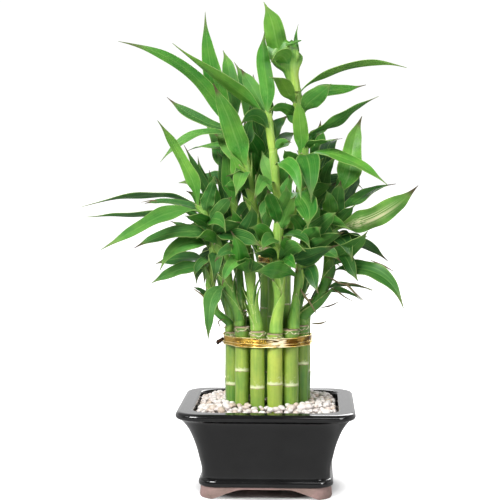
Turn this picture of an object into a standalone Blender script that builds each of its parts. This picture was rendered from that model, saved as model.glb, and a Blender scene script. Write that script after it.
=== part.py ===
"""A bundle of lucky bamboo in a glazed ceramic pot with four bracket feet.

Thirteen short canes stand in a ring round three tall ones. Each ring of canes is held by a gold tie.
Green shoots grow from the cane tops, and the sheaths of their leaves wrap the shoots.
Lengths in this file are in millimetres, and mm() turns them into metres.
"""

import math
import random
from collections import namedtuple

import bmesh
import bpy
from mathutils import Vector

GAP = 0.35  # clearance between pieces that touch
MIDDLE = Vector((16.0, 0.0, 0.0))  # the pot's middle, from the point under the middle of the whole plant

# Pot: a rounded square, given from the middle outwards.
RIM_TOP = 71.5
RIM_HALF = 71.8
RIM_WIDTH = 13.5
LIP_HEIGHT = 6.5
FLOOR_TOP = 20.0
BODY_BOTTOM = 10.0
FOOT_HALF = 53.4
FOOT_HEIGHT = 12.0
ARCH_HALF_FOOT = 43.5
ARCH_HALF_TOP = 19.0
ARCH_HEIGHT = 8.4
CORNER_SHARE = 0.28
CORNER_STEPS = 5

# What fills the pot.
SOIL_TOP = 56.0
PEBBLE_EDGE = 68.5
PEBBLE_HEAP = 75.5
CANE_FOOT = 30.0

# Canes: the ring touches a circle of this radius, and the tall ones stand close together inside it.
BUNDLE_RADIUS = 36.0
CANE_RADIUS = 6.4
CANE_SIDES = 12
TALL_TOP = 197.0
TALL_MIDDLE = Vector((6.5, 0.0))
TALL_SPREAD = 7.75

# Gold ties.
LOWER_TIE = (120.0, 127.6)
UPPER_TIE = (186.5, 191.5)
TIE_DEPTH = 1.1
TWIST_LENGTH = 7.0

# Shoots and leaves.
STEM_SIDES = 7
STEM_RISE = 7.0  # a shoot leaves its cane straight up for this far
STEM_STATIONS = 11
FOOT_FLARE = 0.45
FOOT_FLARE_END = 0.2
SHEATH_WALL = 0.75
SHEATH_STATIONS = 6
LEAF_THICKNESS = 1.0
LEAF_FOLD = 0.16
LEAF_WIDEST = 0.36
LEAF_PETIOLE = 0.26
LEAF_STATIONS = (0.0, 0.16, 0.36, 0.58, 0.78, 0.92)

Cane = namedtuple("Cane", "name angle top radius rings")
Stem = namedtuple("Stem", "cane low_radius high_radius points")
Leaf = namedtuple("Leaf", "stem height tip width bow roll")

# Short canes: the angle from the front towards the right, the height of the cut top, and the rings.
SHORT_CANES = [
    Cane("cane_front_left", -14, 133, 6.3, (87, 130)),
    Cane("cane_front", 13.5, 131, 6.5, (90, 128.5)),
    Cane("cane_front_right", 42, 134, 7.1, (88, 131)),
    Cane("cane_right", 70.5, 136, 6.3, (104, 130)),
    Cane("cane_right_back", 97, 146, 6.3, (96, 143)),
    Cane("cane_back_right", 124, 142, 6.4, (84, 139)),
    Cane("cane_back_middle_right", 152, 144, 6.3, (101, 141)),
    Cane("cane_back", 180, 144, 6.4, (92, 141)),
    Cane("cane_back_middle_left", -152.5, 139, 6.3, (86, 136)),
    Cane("cane_back_left", -125, 145, 6.4, (98, 142)),
    Cane("cane_left_back", -97.5, 134, 6.3, (90, 131)),
    Cane("cane_left", -70, 130, 6.3, (87, 127)),
    Cane("cane_left_front", -42, 136, 6.3, (100, 133)),
]
TALL_CANES = [
    Cane("tall_cane_front", 0, TALL_TOP, CANE_RADIUS, (92, 143, 181)),
    Cane("tall_cane_right", 120, TALL_TOP + 1, CANE_RADIUS, (104, 152, 184)),
    Cane("tall_cane_left", -120, TALL_TOP + 2, CANE_RADIUS, (96, 149, 183)),
]

# Shoots: the cane that each grows from, its radius at both ends, and the points that it passes.
STEMS = {
    "left_outer": Stem("cane_left", 2.4, 1.8,
                       [(-31, -11), (-42, -14, 148), (-46, -14, 165), (-45, -12, 188), (-43, -10, 211)]),
    "left_back": Stem("cane_left_back", 2.8, 2.2, [(-31, 5), (-37, 10, 163), (-39, 12, 200), (-41, 12, 231)]),
    "left": Stem("cane_left_front", 3.3, 2.2,
                 [(-22, -22), (-29, -25, 164), (-35, -23, 190), (-45, -18, 214), (-55, -14, 235)]),
    "front_left": Stem("cane_front_left", 3.6, 2.6, [(-8, -29), (-12, -31, 162), (-13, -30, 184), (-17, -27, 207)]),
    "front": Stem("cane_front", 3.8, 2.8, [(8, -29), (11, -31, 166), (9, -30, 199), (10, -26, 226)]),
    "front_right": Stem("cane_front_right", 3.5, 2.5, [(22, -21), (25, -25, 164), (28, -24, 187), (31, -22, 206)]),
    "right": Stem("cane_right", 4.0, 2.6,
                  [(29, -10), (41, -9, 156), (49, -6, 175), (51, -2, 197), (54, 2, 220), (57, 6, 244)]),
    "back_right": Stem("cane_back_right", 2.8, 2.2, [(25, 18), (33, 26, 179), (37, 32, 225), (41, 36, 264)]),
    "back": Stem("cane_back", 2.8, 2.2, [(-1, 29), (-6, 33, 179), (-8, 38, 237), (-10, 40, 294)]),
    "back_left": Stem("cane_back_left", 2.8, 2.2, [(-22, 18), (-25, 24, 179), (-28, 28, 222), (-32, 30, 264)]),
    "tall_left": Stem("tall_cane_left", 2.8, 2.2,
                      [(-1, 3), (-8, -2, 220), (-14, -7, 248), (-18, -8, 271), (-23, -7, 289), (-27, -6, 302)]),
    "tall_middle": Stem("tall_cane_front", 2.9, 2.2,
                        [(7, -8), (11, -11, 227), (7, -12, 256), (3, -11, 289), (1, -9, 310)]),
    "tall_right": Stem("tall_cane_right", 3.0, 3.4,
                       [(15, 4), (23, 5, 226), (28, 5, 254), (29, 5, 279), (26, 3, 310), (21, 1, 334), (21, 0, 347)]),
}

# Leaves: the shoot, the height where the leaf leaves it, the tip, the width, how far the blade bows above the
# straight line from base to tip, and its roll, from 0 for a level blade to 90 for one that faces the front.
LEAVES = [
    Leaf("tall_left", 277, (-117, -50, 365), 13, 19, 60),
    Leaf("tall_middle", 303, (-75, -40, 364), 12, 6, 50),
    Leaf("tall_left", 297, (-50, -20, 391), 15, -6, 75),
    Leaf("tall_left", 292, (-86, 25, 324), 12, -3, 35),
    Leaf("tall_left", 298, (-39, 35, 364), 16, 3, 75),
    Leaf("back", 287, (-31, 60, 356), 15, 3, 70),
    Leaf("tall_middle", 308, (-2, -14, 376), 14, 1, 85),
    Leaf("tall_right", 346, (-3, -14, 399), 24, -3, 85),
    Leaf("tall_right", 342, (3, -25, 349), 19, 9, 60),
    Leaf("tall_right", 346, (25, 8, 383), 4, 1, 80),
    Leaf("tall_right", 326, (113, -20, 345), 10, 9, 25),
    Leaf("tall_right", 320, (82, 30, 334), 11, 4, 30),
    Leaf("tall_right", 308, (52, -30, 332), 19, 4, 70),
    Leaf("tall_right", 290, (90, -30, 322), 11, -3, 35),
    Leaf("tall_right", 277, (63, 45, 305), 10, 8, 25),
    Leaf("tall_right", 280, (57, -35, 288), 9, 2, 20),
    Leaf("tall_right", 274, (97, -40, 251), 12, 9, 40),
    Leaf("tall_right", 272, (36, -40, 237), 21, 14, 75),
    Leaf("tall_middle", 266, (28, -50, 239), 12, 12, 60),
    Leaf("tall_right", 241, (33, -60, 217), 21, 10, 65),
    Leaf("tall_middle", 238, (-4, -40, 224), 11, 5, 35),
    Leaf("tall_right", 220, (69, -45, 215), 12, 9, 45),
    Leaf("tall_middle", 209, (36, -55, 200), 10, 5, 40),
    Leaf("tall_left", 285, (-88, -12, 269), 10, 15, 30),
    Leaf("tall_left", 274, (-70, 45, 279), 11, 6, 25),
    Leaf("back", 233, (3, 5, 290), 19, -3, 80),
    Leaf("back", 266, (-17, 10, 305), 14, 2, 75),
    Leaf("left", 233, (-87, -38, 303), 16, 3, 60),
    Leaf("left", 232, (-151, -25, 233), 10, 10, 30),
    Leaf("left", 229, (-154, 20, 223), 10, -3, 30),
    Leaf("left", 227, (-128, -75, 201), 14, 9, 50),
    Leaf("left", 224, (-107, 40, 234), 10, 6, 20),
    Leaf("left_back", 228, (-48, -5, 263), 8, 1, 80),
    Leaf("left_back", 226, (-60, 30, 275), 8, 2, 75),
    Leaf("left_back", 223, (-71, 20, 284), 9, 1, 70),
    Leaf("left_back", 216, (-68, 0, 246), 20, 3, 70),
    Leaf("left", 209, (-2, -66, 203), 14, 3, 50),
    Leaf("left_back", 195, (-56, 40, 164), 12, 12, 70),
    Leaf("left_outer", 207, (-105, -50, 201), 15, 9, 50),
    Leaf("left_outer", 204, (-83, 20, 220), 8, 4, 30),
    Leaf("left_outer", 199, (-86, -35, 182), 15, 12, 60),
    Leaf("left_outer", 186, (-95, 15, 184), 14, 5, 40),
    Leaf("left_outer", 181, (-94, -30, 171), 12, 6, 45),
    Leaf("left_outer", 157, (-60, -22, 168), 5, 2, 60),
    Leaf("left", 169, (-46, -46, 127), 12, 12, 75),
    Leaf("front_left", 179, (-27, -62, 216), 20, -3, 80),
    Leaf("front_left", 194, (-40, -60, 191), 14, 6, 60),
    Leaf("front_left", 202, (-11, -55, 236), 14, 2, 70),
    Leaf("front", 189, (-13, -68, 198), 12, 5, 45),
    Leaf("front", 190, (58, -62, 205), 18, -4, 60),
    Leaf("front", 218, (2, -60, 248), 12, 2, 70),
    Leaf("front", 221, (16, -58, 252), 11, 2, 70),
    Leaf("front_right", 176, (-9, -86, 185), 16, 3, 70),
    Leaf("front_right", 182, (42, -55, 165), 16, 8, 75),
    Leaf("front_right", 202, (56, -50, 230), 16, 2, 65),
    Leaf("front_right", 203, (41, -38, 239), 14, 2, 75),
    Leaf("right", 241, (78, 15, 308), 20, -3, 65),
    Leaf("right", 238, (74, 40, 282), 8, 2, 60),
    Leaf("right", 231, (79, 50, 264), 16, 2, 60),
    Leaf("right", 227, (108, 42, 251), 11, 3, 45),
    Leaf("right", 212, (122, -30, 251), 21, -5, 65),
    Leaf("right", 188, (81, -45, 215), 22, -2, 60),
    Leaf("right", 192, (101, 25, 186), 15, 12, 40),
    Leaf("right", 178, (111, -35, 151), 16, 14, 45),
    Leaf("right", 163, (87, -22, 166), 8, 6, 30),
    Leaf("right", 159, (78, 5, 155), 8, 7, 40),
    Leaf("back_right", 240, (57, 10, 275), 11, 1, 60),
    Leaf("back_right", 257, (63, 75, 290), 16, 6, 50),
    Leaf("back_right", 249, (44, 80, 306), 16, 4, 60),
    Leaf("back_right", 237, (81, 80, 246), 16, 10, 35),
    Leaf("back_right", 219, (51, 84, 223), 18, 12, 40),
    Leaf("back_left", 257, (-60, 70, 306), 16, 5, 50),
    Leaf("back_left", 252, (-37, 80, 328), 15, 4, 65),
    Leaf("back_left", 244, (-81, 78, 251), 16, 10, 35),
    Leaf("back_left", 227, (-43, 84, 235), 18, 12, 40),
    Leaf("back", 285, (-4, 75, 336), 16, 3, 60),
    Leaf("back", 274, (16, 84, 311), 16, 8, 50),
    Leaf("back", 262, (-29, 85, 287), 16, 10, 40),
    Leaf("back", 240, (11, 86, 247), 18, 12, 35),
    Leaf("tall_left", 263, (-43, -34, 333), 20, 3, 80),
    Leaf("tall_right", 316, (2, -34, 337), 13, 4, 60),
    Leaf("tall_right", 274, (25, -12, 323), 13, 2, 85),
    Leaf("tall_middle", 295, (-19, 22, 320), 13, 4, 70),
    Leaf("tall_middle", 277, (23, 26, 294), 12, 3, 50),
    Leaf("tall_left", 258, (-24, -48, 242), 13, 8, 75),
    Leaf("tall_left", 246, (-32, -42, 258), 12, 5, 65),
    Leaf("tall_middle", 251, (-10, -40, 238), 12, 8, 65),
    Leaf("left", 219, (-31, -60, 214), 12, 6, 60),
    Leaf("left_back", 208, (-79, 44, 206), 12, 6, 45),
    Leaf("front_left", 189, (-34, -62, 172), 11, 9, 60),
    Leaf("front_right", 193, (62, -62, 215), 13, 3, 60),
    Leaf("front_right", 193, (60, -46, 190), 12, 6, 65),
    Leaf("right", 220, (48, -44, 247), 12, 2, 75),
    Leaf("right", 201, (86, 44, 198), 14, 4, 55),
    Leaf("back_right", 225, (38, 14, 268), 14, 2, 75),
    Leaf("back_right", 204, (69, 70, 193), 14, 8, 45),
    Leaf("back_right", 194, (30, 86, 182), 13, 8, 45),
    Leaf("back_left", 217, (-11, 0, 241), 13, 3, 75),
    Leaf("back_left", 207, (-55, 70, 209), 13, 8, 45),
    Leaf("back", 219, (-22, 86, 208), 14, 10, 40),
    Leaf("back", 237, (-16, 30, 306), 16, -1, 80),
    Leaf("back", 233, (6, 20, 288), 16, 2, 80),
    Leaf("back", 224, (-21, 25, 279), 15, 2, 75),
    Leaf("back_left", 233, (-35, 20, 288), 15, 0, 75),
    Leaf("back_left", 212, (-46, 30, 258), 14, 0, 70),
    Leaf("back_right", 237, (53, 20, 273), 16, 3, 75),
    Leaf("back_right", 225, (57, 10, 253), 16, 3, 75),
    Leaf("back_right", 212, (66, 30, 234), 15, 4, 65),
    Leaf("back", 219, (13, 40, 246), 16, 3, 75),
    Leaf("back_right", 233, (23, 60, 280), 14, 3, 70),
    Leaf("back_left", 207, (-47, 45, 218), 14, 5, 60),
    Leaf("back", 227, (-28, 75, 192), 15, 12, 60),
    Leaf("back_left", 207, (-55, 60, 186), 13, 7, 50),
    Leaf("back_right", 194, (61, 60, 179), 13, 7, 50),
    Leaf("tall_left", 246, (-30, -15, 279), 14, -1, 75),
    Leaf("tall_left", 246, (-35, -22, 250), 14, 3, 75),
    Leaf("tall_middle", 238, (-5, 2, 279), 14, 2, 80),
    Leaf("tall_middle", 229, (19, -20, 261), 12, 3, 75),
    Leaf("tall_right", 246, (46, -12, 273), 16, 2, 80),
    Leaf("tall_right", 234, (53, -18, 252), 17, 3, 80),
    Leaf("tall_right", 220, (46, -22, 240), 15, 3, 75),
    Leaf("right", 220, (60, -24, 255), 14, 2, 80),
    Leaf("right", 212, (72, -20, 235), 14, 2, 75),
    Leaf("right", 207, (69, -36, 190), 15, 8, 60),
    Leaf("right", 192, (74, -30, 173), 13, 8, 50),
    Leaf("right", 195, (81, -34, 210), 19, 4, 70),
    Leaf("right", 197, (46, -34, 226), 15, -1, 80),
    Leaf("front_right", 198, (44, -60, 219), 15, 4, 70),
    Leaf("front_right", 185, (13, -64, 212), 13, 5, 60),
    Leaf("front", 220, (1, -56, 247), 12, 2, 80),
    Leaf("front", 213, (24, -46, 243), 13, 2, 80),
    Leaf("front", 199, (-13, -60, 218), 13, 4, 70),
    Leaf("front", 189, (32, -70, 200), 14, 6, 55),
    Leaf("front_left", 202, (-27, -44, 233), 13, 3, 75),
    Leaf("front_left", 190, (-29, -56, 205), 15, 1, 65),
    Leaf("front_left", 181, (-23, -60, 191), 12, 6, 55),
    Leaf("left", 209, (-20, -52, 222), 14, 4, 70),
    Leaf("left", 227, (-42, -30, 258), 12, 2, 80),
    Leaf("left", 217, (-27, -36, 242), 13, 3, 75),
    Leaf("left", 201, (-55, -50, 209), 13, 6, 55),
    Leaf("left", 193, (-42, -50, 173), 11, 9, 65),
    Leaf("left_back", 216, (-52, 14, 246), 12, -4, 75),
    Leaf("left_back", 204, (-29, 0, 227), 13, 3, 70),
    Leaf("left_back", 199, (-67, 30, 195), 12, 6, 45),
    Leaf("left_outer", 205, (-58, -12, 220), 12, 4, 60),
    Leaf("left_outer", 196, (-28, -18, 201), 11, 4, 60),
    Leaf("tall_middle", 302, (-23, 10, 347), 15, 2, 80),
    Leaf("tall_middle", 299, (-13, 22, 343), 13, 2, 80),
    Leaf("tall_middle", 295, (-21, -40, 298), 13, 10, 60),
    Leaf("tall_right", 305, (1, -24, 310), 10, 5, 60),
    Leaf("tall_right", 296, (14, 14, 319), 13, 2, 80),
    Leaf("back", 278, (-14, 30, 323), 15, 2, 80),
    Leaf("back", 267, (2, 34, 311), 15, -1, 80),
    Leaf("back", 261, (-21, 40, 307), 14, -1, 75),
    Leaf("tall_left", 273, (-32, -20, 310), 14, 2, 80),
    Leaf("tall_left", 264, (-46, 4, 294), 14, 3, 75),
    Leaf("tall_left", 279, (-11, 6, 306), 12, 2, 80),
    Leaf("back_left", 260, (-26, 30, 298), 15, 2, 80),
    Leaf("back_left", 244, (-44, 24, 279), 13, 0, 75),
    Leaf("tall_middle", 277, (20, -22, 285), 9, 4, 60),
    Leaf("tall_right", 278, (43, 12, 293), 13, 3, 75),
    Leaf("back_right", 246, (45, 34, 281), 14, 9, 75),
    Leaf("tall_right", 261, (14, -24, 279), 12, 3, 75),
    Leaf("front_left", 179, (4, -60, 185), 11, 6, 50),
    Leaf("front", 189, (26, -66, 184), 10, 5, 50),
    Leaf("left", 183, (-49, -44, 187), 12, 6, 55),
    Leaf("left_outer", 188, (-58, -30, 177), 11, 6, 50),
    Leaf("left_back", 195, (-61, 24, 166), 11, 7, 50),
    Leaf("right", 182, (78, -10, 183), 12, 8, 50),
    Leaf("back_right", 195, (72, 44, 191), 12, 7, 50),
    Leaf("left", 210, (-72, -8, 235), 12, 2, 35),
    Leaf("left", 213, (-64, -52, 227), 13, 5, 55),
    Leaf("front_right", 205, (19, -48, 228), 13, 6, 75),
    Leaf("front", 203, (-2, -76, 201), 12, 7, 50),
]


def mm(point):
    """A point from the pot's middle, in millimetres, as a point of the whole plant in metres."""
    return (Vector(point) + MIDDLE) * 0.001


def clear_scene():
    for item in list(bpy.data.objects):
        bpy.data.objects.remove(item, do_unlink=True)


def material(name, colour, roughness, metallic=0.0):
    made = bpy.data.materials.get(name)
    if made:
        return made
    made = bpy.data.materials.new(name)
    made.use_nodes = True
    shader = made.node_tree.nodes["Principled BSDF"]
    shader.inputs["Base Color"].default_value = (*colour, 1.0)
    shader.inputs["Roughness"].default_value = roughness
    shader.inputs["Metallic"].default_value = metallic
    made.diffuse_color = (*colour, 1.0)
    return made


def add_object(name, mesh, finish=None, sharp_angle=40):
    """Puts a mesh in the scene as a part, or as a wire helper that isn't one when it has no finish."""
    made = bpy.data.objects.new(name, mesh)
    bpy.context.scene.collection.objects.link(made)
    if finish is None:
        made.hide_render = True
        made.display_type = "WIRE"
        return made
    mesh.materials.append(finish)
    mesh.shade_smooth()
    mesh.set_sharp_from_angle(angle=math.radians(sharp_angle))
    return made


def loft(shape, rings, close_ends=True, loop=False):
    """Adds the skin over a row of rings, each a list of points with the same count, to a bmesh."""
    made = [[shape.verts.new(mm(point)) for point in ring] for ring in rings]
    pairs = list(zip(made, made[1:]))
    if loop:
        pairs.append((made[-1], made[0]))
    for low, high in pairs:
        count = len(low)
        for i in range(count):
            j = (i + 1) % count
            shape.faces.new((low[i], low[j], high[j], high[i]))
    if close_ends and not loop:
        shape.faces.new(list(reversed(made[0])))
        shape.faces.new(made[-1])
    return made


def finished(shape, name):
    """The bmesh as a mesh with its faces pointing out."""
    bmesh.ops.recalc_face_normals(shape, faces=shape.faces)
    mesh = bpy.data.meshes.new(name)
    shape.to_mesh(mesh)
    shape.free()
    return mesh


def lofted(name, rings, **options):
    shape = bmesh.new()
    loft(shape, rings, **options)
    return finished(shape, name)


def boolean(target, helper, operation, use_self=False):
    cut = target.modifiers.new(operation.title(), "BOOLEAN")
    cut.operation = operation
    cut.object = helper
    cut.solver = "EXACT"
    cut.use_self = use_self


# Pot

def rounded_square(half, height):
    """A ring of points on a square with rounded corners."""
    corner = CORNER_SHARE * half
    points = []
    for quarter in range(4):
        middle_angle = math.radians(45 + 90 * quarter)
        centre = Vector((math.cos(middle_angle), math.sin(middle_angle))) * (half - corner) * math.sqrt(2)
        for step in range(CORNER_STEPS):
            angle = math.radians(90 * quarter + 90 * step / (CORNER_STEPS - 1))
            points.append((centre.x + corner * math.cos(angle), centre.y + corner * math.sin(angle), height))
    return points


OUTSIDE = [(51.5, BODY_BOTTOM), (53.7, 10.8), (54.2, 12.8), (53.5, 15.2), (52.0, 16.6), (52.2, 24.0), (53.6, 31.0),
           (56.6, 43.0), (61.2, 55.0), (66.5, 63.0)]
INSIDE = [(58.5, 69.5), (57.5, 66.0), (54.5, 55.0), (50.0, 43.0), (47.0, 31.0), (45.5, FLOOR_TOP)]


def pot_rings():
    lip_bottom = RIM_TOP - LIP_HEIGHT
    lip = [(RIM_HALF - 4.0, lip_bottom), (RIM_HALF - 1.0, lip_bottom + 1.0), (RIM_HALF, lip_bottom + 3.4),
           (RIM_HALF - 0.9, RIM_TOP - 0.8), (RIM_HALF - 3.0, RIM_TOP), (RIM_HALF - RIM_WIDTH + 1.0, RIM_TOP)]
    return [rounded_square(*row) for row in OUTSIDE + lip + INSIDE]


def arch_outline():
    """Half of the low arch between two feet, from its foot up to its flat top."""
    run = ARCH_HALF_FOOT - ARCH_HALF_TOP
    shares = [step / 5 for step in range(6)]
    return [(ARCH_HALF_FOOT - run * share, ARCH_HEIGHT * (1 - (1 - share) ** 1.3)) for share in shares]


def arch_cutter(name, along_x):
    right = [(ARCH_HALF_FOOT, -2.0)] + arch_outline()
    outline = right + [(-across, up) for across, up in reversed(right)]
    reach = FOOT_HALF + 10
    rings = []
    for end in (-reach, reach):
        rings.append([(end, across, up) if along_x else (across, end, up) for across, up in outline])
    return add_object(name, lofted(name, rings))


def build_pot():
    feet_rings = [rounded_square(FOOT_HALF - 0.5, 0.0), rounded_square(FOOT_HALF, 1.4),
                  rounded_square(FOOT_HALF - 0.8, FOOT_HEIGHT)]
    feet = add_object("feet_block", lofted("feet_block", feet_rings))
    boolean(feet, arch_cutter("arch_front_to_back", False), "DIFFERENCE")
    boolean(feet, arch_cutter("arch_side_to_side", True), "DIFFERENCE")
    glaze = material("charcoal_glaze", (0.03, 0.03, 0.032), 0.18)
    pot = add_object("pot", lofted("pot", pot_rings()), glaze)
    boolean(pot, feet, "UNION")
    return pot


# Canes

def cane_place(cane, tall=False):
    """Where a cane stands, from the pot's middle."""
    angle = math.radians(cane.angle)
    way = Vector((math.sin(angle), -math.cos(angle)))
    if tall:
        return TALL_MIDDLE + way * TALL_SPREAD
    return way * (BUNDLE_RADIUS - cane.radius)


def circle(centre, radius, height, sides):
    turns = [2 * math.pi * i / sides for i in range(sides)]
    return [(centre.x + radius * math.cos(a), centre.y + radius * math.sin(a), height) for a in turns]


def cane_mesh(cane, centre):
    """A turned cane that swells a little at each ring."""
    profile = [(cane.radius - 0.6, CANE_FOOT), (cane.radius - 0.1, CANE_FOOT + 0.8)]
    for ring in cane.rings:
        profile += [(cane.radius - 0.25, ring - 1.6), (cane.radius, ring), (cane.radius - 0.25, ring + 1.4)]
    profile += [(cane.radius - 0.9, cane.top)]
    rings = [circle(centre, radius, height, CANE_SIDES) for radius, height in profile]
    return lofted(cane.name, rings)


def build_canes():
    green = material("cane_green", (0.30, 0.50, 0.08), 0.35)
    places = {}
    for cane in SHORT_CANES + TALL_CANES:
        places[cane.name] = cane_place(cane, cane in TALL_CANES)
        add_object(cane.name, cane_mesh(cane, places[cane.name]), green)
    return places


def planting_holes(places):
    """A helper with one well for each short cane and one for the tall cluster."""
    shape = bmesh.new()
    low, high = CANE_FOOT - GAP, TALL_TOP
    for cane in SHORT_CANES:
        place = places[cane.name]
        loft(shape, [circle(place, cane.radius + GAP, height, CANE_SIDES) for height in (low, high)])
    core = TALL_SPREAD + CANE_RADIUS + GAP
    loft(shape, [circle(TALL_MIDDLE, core, height, 2 * CANE_SIDES) for height in (low, high)])
    return add_object("planting_holes", finished(shape, "planting_holes"))


# Soil and pebbles

def inside_half(height):
    """The half width of the pot's hollow at a height."""
    rows = list(reversed(INSIDE))
    for (low_half, low), (high_half, high) in zip(rows, rows[1:]):
        if height <= high:
            return low_half + (high_half - low_half) * (height - low) / (high - low)
    return rows[-1][0]


def fill_ring(height):
    return rounded_square(inside_half(height) - 0.5, height)


def build_soil(holes):
    heights = [FLOOR_TOP + GAP, 31.0, 43.0, 55.0, SOIL_TOP]
    brown = material("soil_brown", (0.06, 0.04, 0.025), 0.95)
    soil = add_object("soil", lofted("soil", [fill_ring(height) for height in heights]), brown)
    boolean(soil, holes, "DIFFERENCE")
    return soil


def heap_height(x, y):
    """The height of the pebbles, which are heaped against the canes."""
    out = max(abs(x), abs(y), 0.75 * math.hypot(x, y)) / inside_half(PEBBLE_EDGE)
    return PEBBLE_EDGE + (PEBBLE_HEAP - PEBBLE_EDGE) * max(0.0, 1 - out ** 4)


def build_pebbles(holes):
    draw = random.Random(7)
    rings = [fill_ring(SOIL_TOP + GAP), fill_ring(PEBBLE_EDGE)]
    edge = rings[-1]
    for share in (0.93, 0.86, 0.79, 0.72, 0.64):
        ring = []
        for x, y, _ in edge:
            x, y = x * share, y * share
            ring.append((x, y, heap_height(x, y) + draw.uniform(-0.9, 0.9)))
        rings.append(ring)
    rings.append([(x * 0.42, y * 0.42, PEBBLE_HEAP - 1.5) for x, y, _ in edge])
    cream = material("pebble_cream", (0.62, 0.54, 0.45), 0.6)
    bed = add_object("pebbles", lofted("pebbles", rings), cream, sharp_angle=180)
    boolean(bed, holes, "DIFFERENCE")
    return bed


# Ties

def taut_loop(circles, clearance):
    """The plan of a band pulled taut round circles that are given in order, anticlockwise."""
    count = len(circles)
    turns = []
    for i in range(count):
        (place, radius), (next_place, next_radius) = circles[i], circles[(i + 1) % count]
        run = next_place - place
        lean = math.asin((radius - next_radius) / run.length)
        turns.append(math.atan2(run.y, run.x) - math.pi / 2 + lean)
    points = []
    for i, (place, radius) in enumerate(circles):
        start, end = turns[i - 1], turns[i]
        while end < start:
            end += 2 * math.pi
        steps = max(2, math.ceil(math.degrees(end - start) / 20))
        for step in range(steps + 1):
            angle = start + (end - start) * step / steps
            way = Vector((math.cos(angle), math.sin(angle)))
            points.append((place + way * (radius + clearance), way))
    return points


def band_mesh(name, circles, low, high):
    """A flat metal band with a bead along each edge."""
    bead = 0.28 * (high - low)
    profile = [(0.0, low), (TIE_DEPTH, low + 0.3 * bead), (TIE_DEPTH, low + bead), (0.6 * TIE_DEPTH, low + 1.5 * bead),
               (0.6 * TIE_DEPTH, high - 1.5 * bead), (TIE_DEPTH, high - bead), (TIE_DEPTH, high - 0.3 * bead),
               (0.0, high)]
    rings = []
    for point, way in taut_loop(circles, GAP):
        rings.append([(point.x + way.x * out, point.y + way.y * out, height) for out, height in profile])
    return lofted(name, rings, loop=True)


def anticlockwise(canes, places, middle):
    around = [(places[cane.name], cane.radius) for cane in canes]
    return sorted(around, key=lambda item: math.atan2(item[0].y - middle.y, item[0].x - middle.x))


def build_ties(places):
    gold = material("gold_foil", (0.78, 0.52, 0.16), 0.25, 1.0)
    short = anticlockwise(SHORT_CANES, places, Vector((0.0, 0.0)))
    tall = anticlockwise(TALL_CANES, places, TALL_MIDDLE)
    lower = add_object("lower_tie", band_mesh("lower_tie", short, *LOWER_TIE), gold)
    add_object("upper_tie", band_mesh("upper_tie", tall, *UPPER_TIE), gold)
    start = Vector((-BUNDLE_RADIUS, -4.0, sum(LOWER_TIE) / 2 - 0.5))
    rows = [(0.0, 1.7), (0.45, 1.1), (1.0, 1.4)]
    rings = []
    for share, radius in rows:
        centre = start + Vector((-TWIST_LENGTH, -1.5, -2.0)) * share
        turns = [math.radians(60 * i + 70 * share) for i in range(6)]
        rings.append([(centre.x, centre.y + radius * math.cos(a), centre.z + radius * math.sin(a)) for a in turns])
    twist = add_object("twisted_ends", lofted("twisted_ends", rings))
    boolean(lower, twist, "UNION")


# Shoots

def curve_point(points, share):
    """A point of the smooth curve through the points, at a share of the way along."""
    spans = len(points) - 1
    at = min(max(share, 0.0), 1.0) * spans
    i = min(int(at), spans - 1)
    t = at - i
    p1, p2 = points[i], points[i + 1]
    p0 = points[i - 1] if i > 0 else p1 * 2 - p2
    p3 = points[i + 2] if i + 2 <= spans else p2 * 2 - p1
    return 0.5 * (2 * p1 + (p2 - p0) * t + (2 * p0 - 5 * p1 + 4 * p2 - p3) * t * t
                  + (3 * p1 - p0 - 3 * p2 + p3) * t ** 3)


def stem_points(stem, canes):
    """The shoot's points, the first of them just above the top of its cane."""
    (x, y), rest = stem.points[0], stem.points[1:]
    top = canes[stem.cane].top
    return [Vector((x, y, top + GAP)), Vector((x, y, top + GAP + STEM_RISE))] + [Vector(point) for point in rest]


def share_at_height(points, height):
    low, high = 0.0, 1.0
    for _ in range(30):
        middle = (low + high) / 2
        if curve_point(points, middle).z < height:
            low = middle
        else:
            high = middle
    return (low + high) / 2


def tube_rings(points, shares, radius_at, sides=STEM_SIDES):
    """Rings round a curve. They stay level at its foot and turn with it further up."""
    rings = []
    across = Vector((1, 0, 0))
    for share in shares:
        centre = curve_point(points, share)
        ahead = curve_point(points, min(share + 0.01, 1.0)) - curve_point(points, max(share - 0.01, 0.0))
        ahead.normalize()
        across = (across - ahead * across.dot(ahead)).normalized()
        side = ahead.cross(across)
        turns = [2 * math.pi * i / sides for i in range(sides)]
        radius = radius_at(share)
        rings.append([centre + (across * math.cos(a) + side * math.sin(a)) * radius for a in turns])
    return rings


def stem_radius(stem, extra=0.0):
    """The shoot's radius along it: a wide foot on its cane, then an even taper."""
    def radius(share):
        foot = FOOT_FLARE * max(1 - share / FOOT_FLARE_END, 0.0) ** 2
        return stem.low_radius * (1 + foot) + (stem.high_radius - stem.low_radius) * share + extra
    return radius


def spread(low, high, count):
    return [low + (high - low) * i / (count - 1) for i in range(count)]


# Leaves

def leaf_width(share):
    """The blade's half width as a share of its widest: a narrow base, a broad middle and a long fine tip."""
    if share < LEAF_WIDEST:
        rise = share / LEAF_WIDEST
        return LEAF_PETIOLE + (1 - LEAF_PETIOLE) * rise * rise * (3 - 2 * rise)
    fall = (share - LEAF_WIDEST) / (1 - LEAF_WIDEST)
    return math.cos(math.pi / 2 * fall) ** 0.85


def leaf_frame(base, tip):
    """The level direction across a leaf, towards the back, and the sign that turns it to face up."""
    level = Vector((tip.x - base.x, tip.y - base.y, 0)).normalized()
    across = level.cross(Vector((0, 0, 1)))
    sign = -1 if across.y < 0 else 1
    return across * sign, sign


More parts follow.
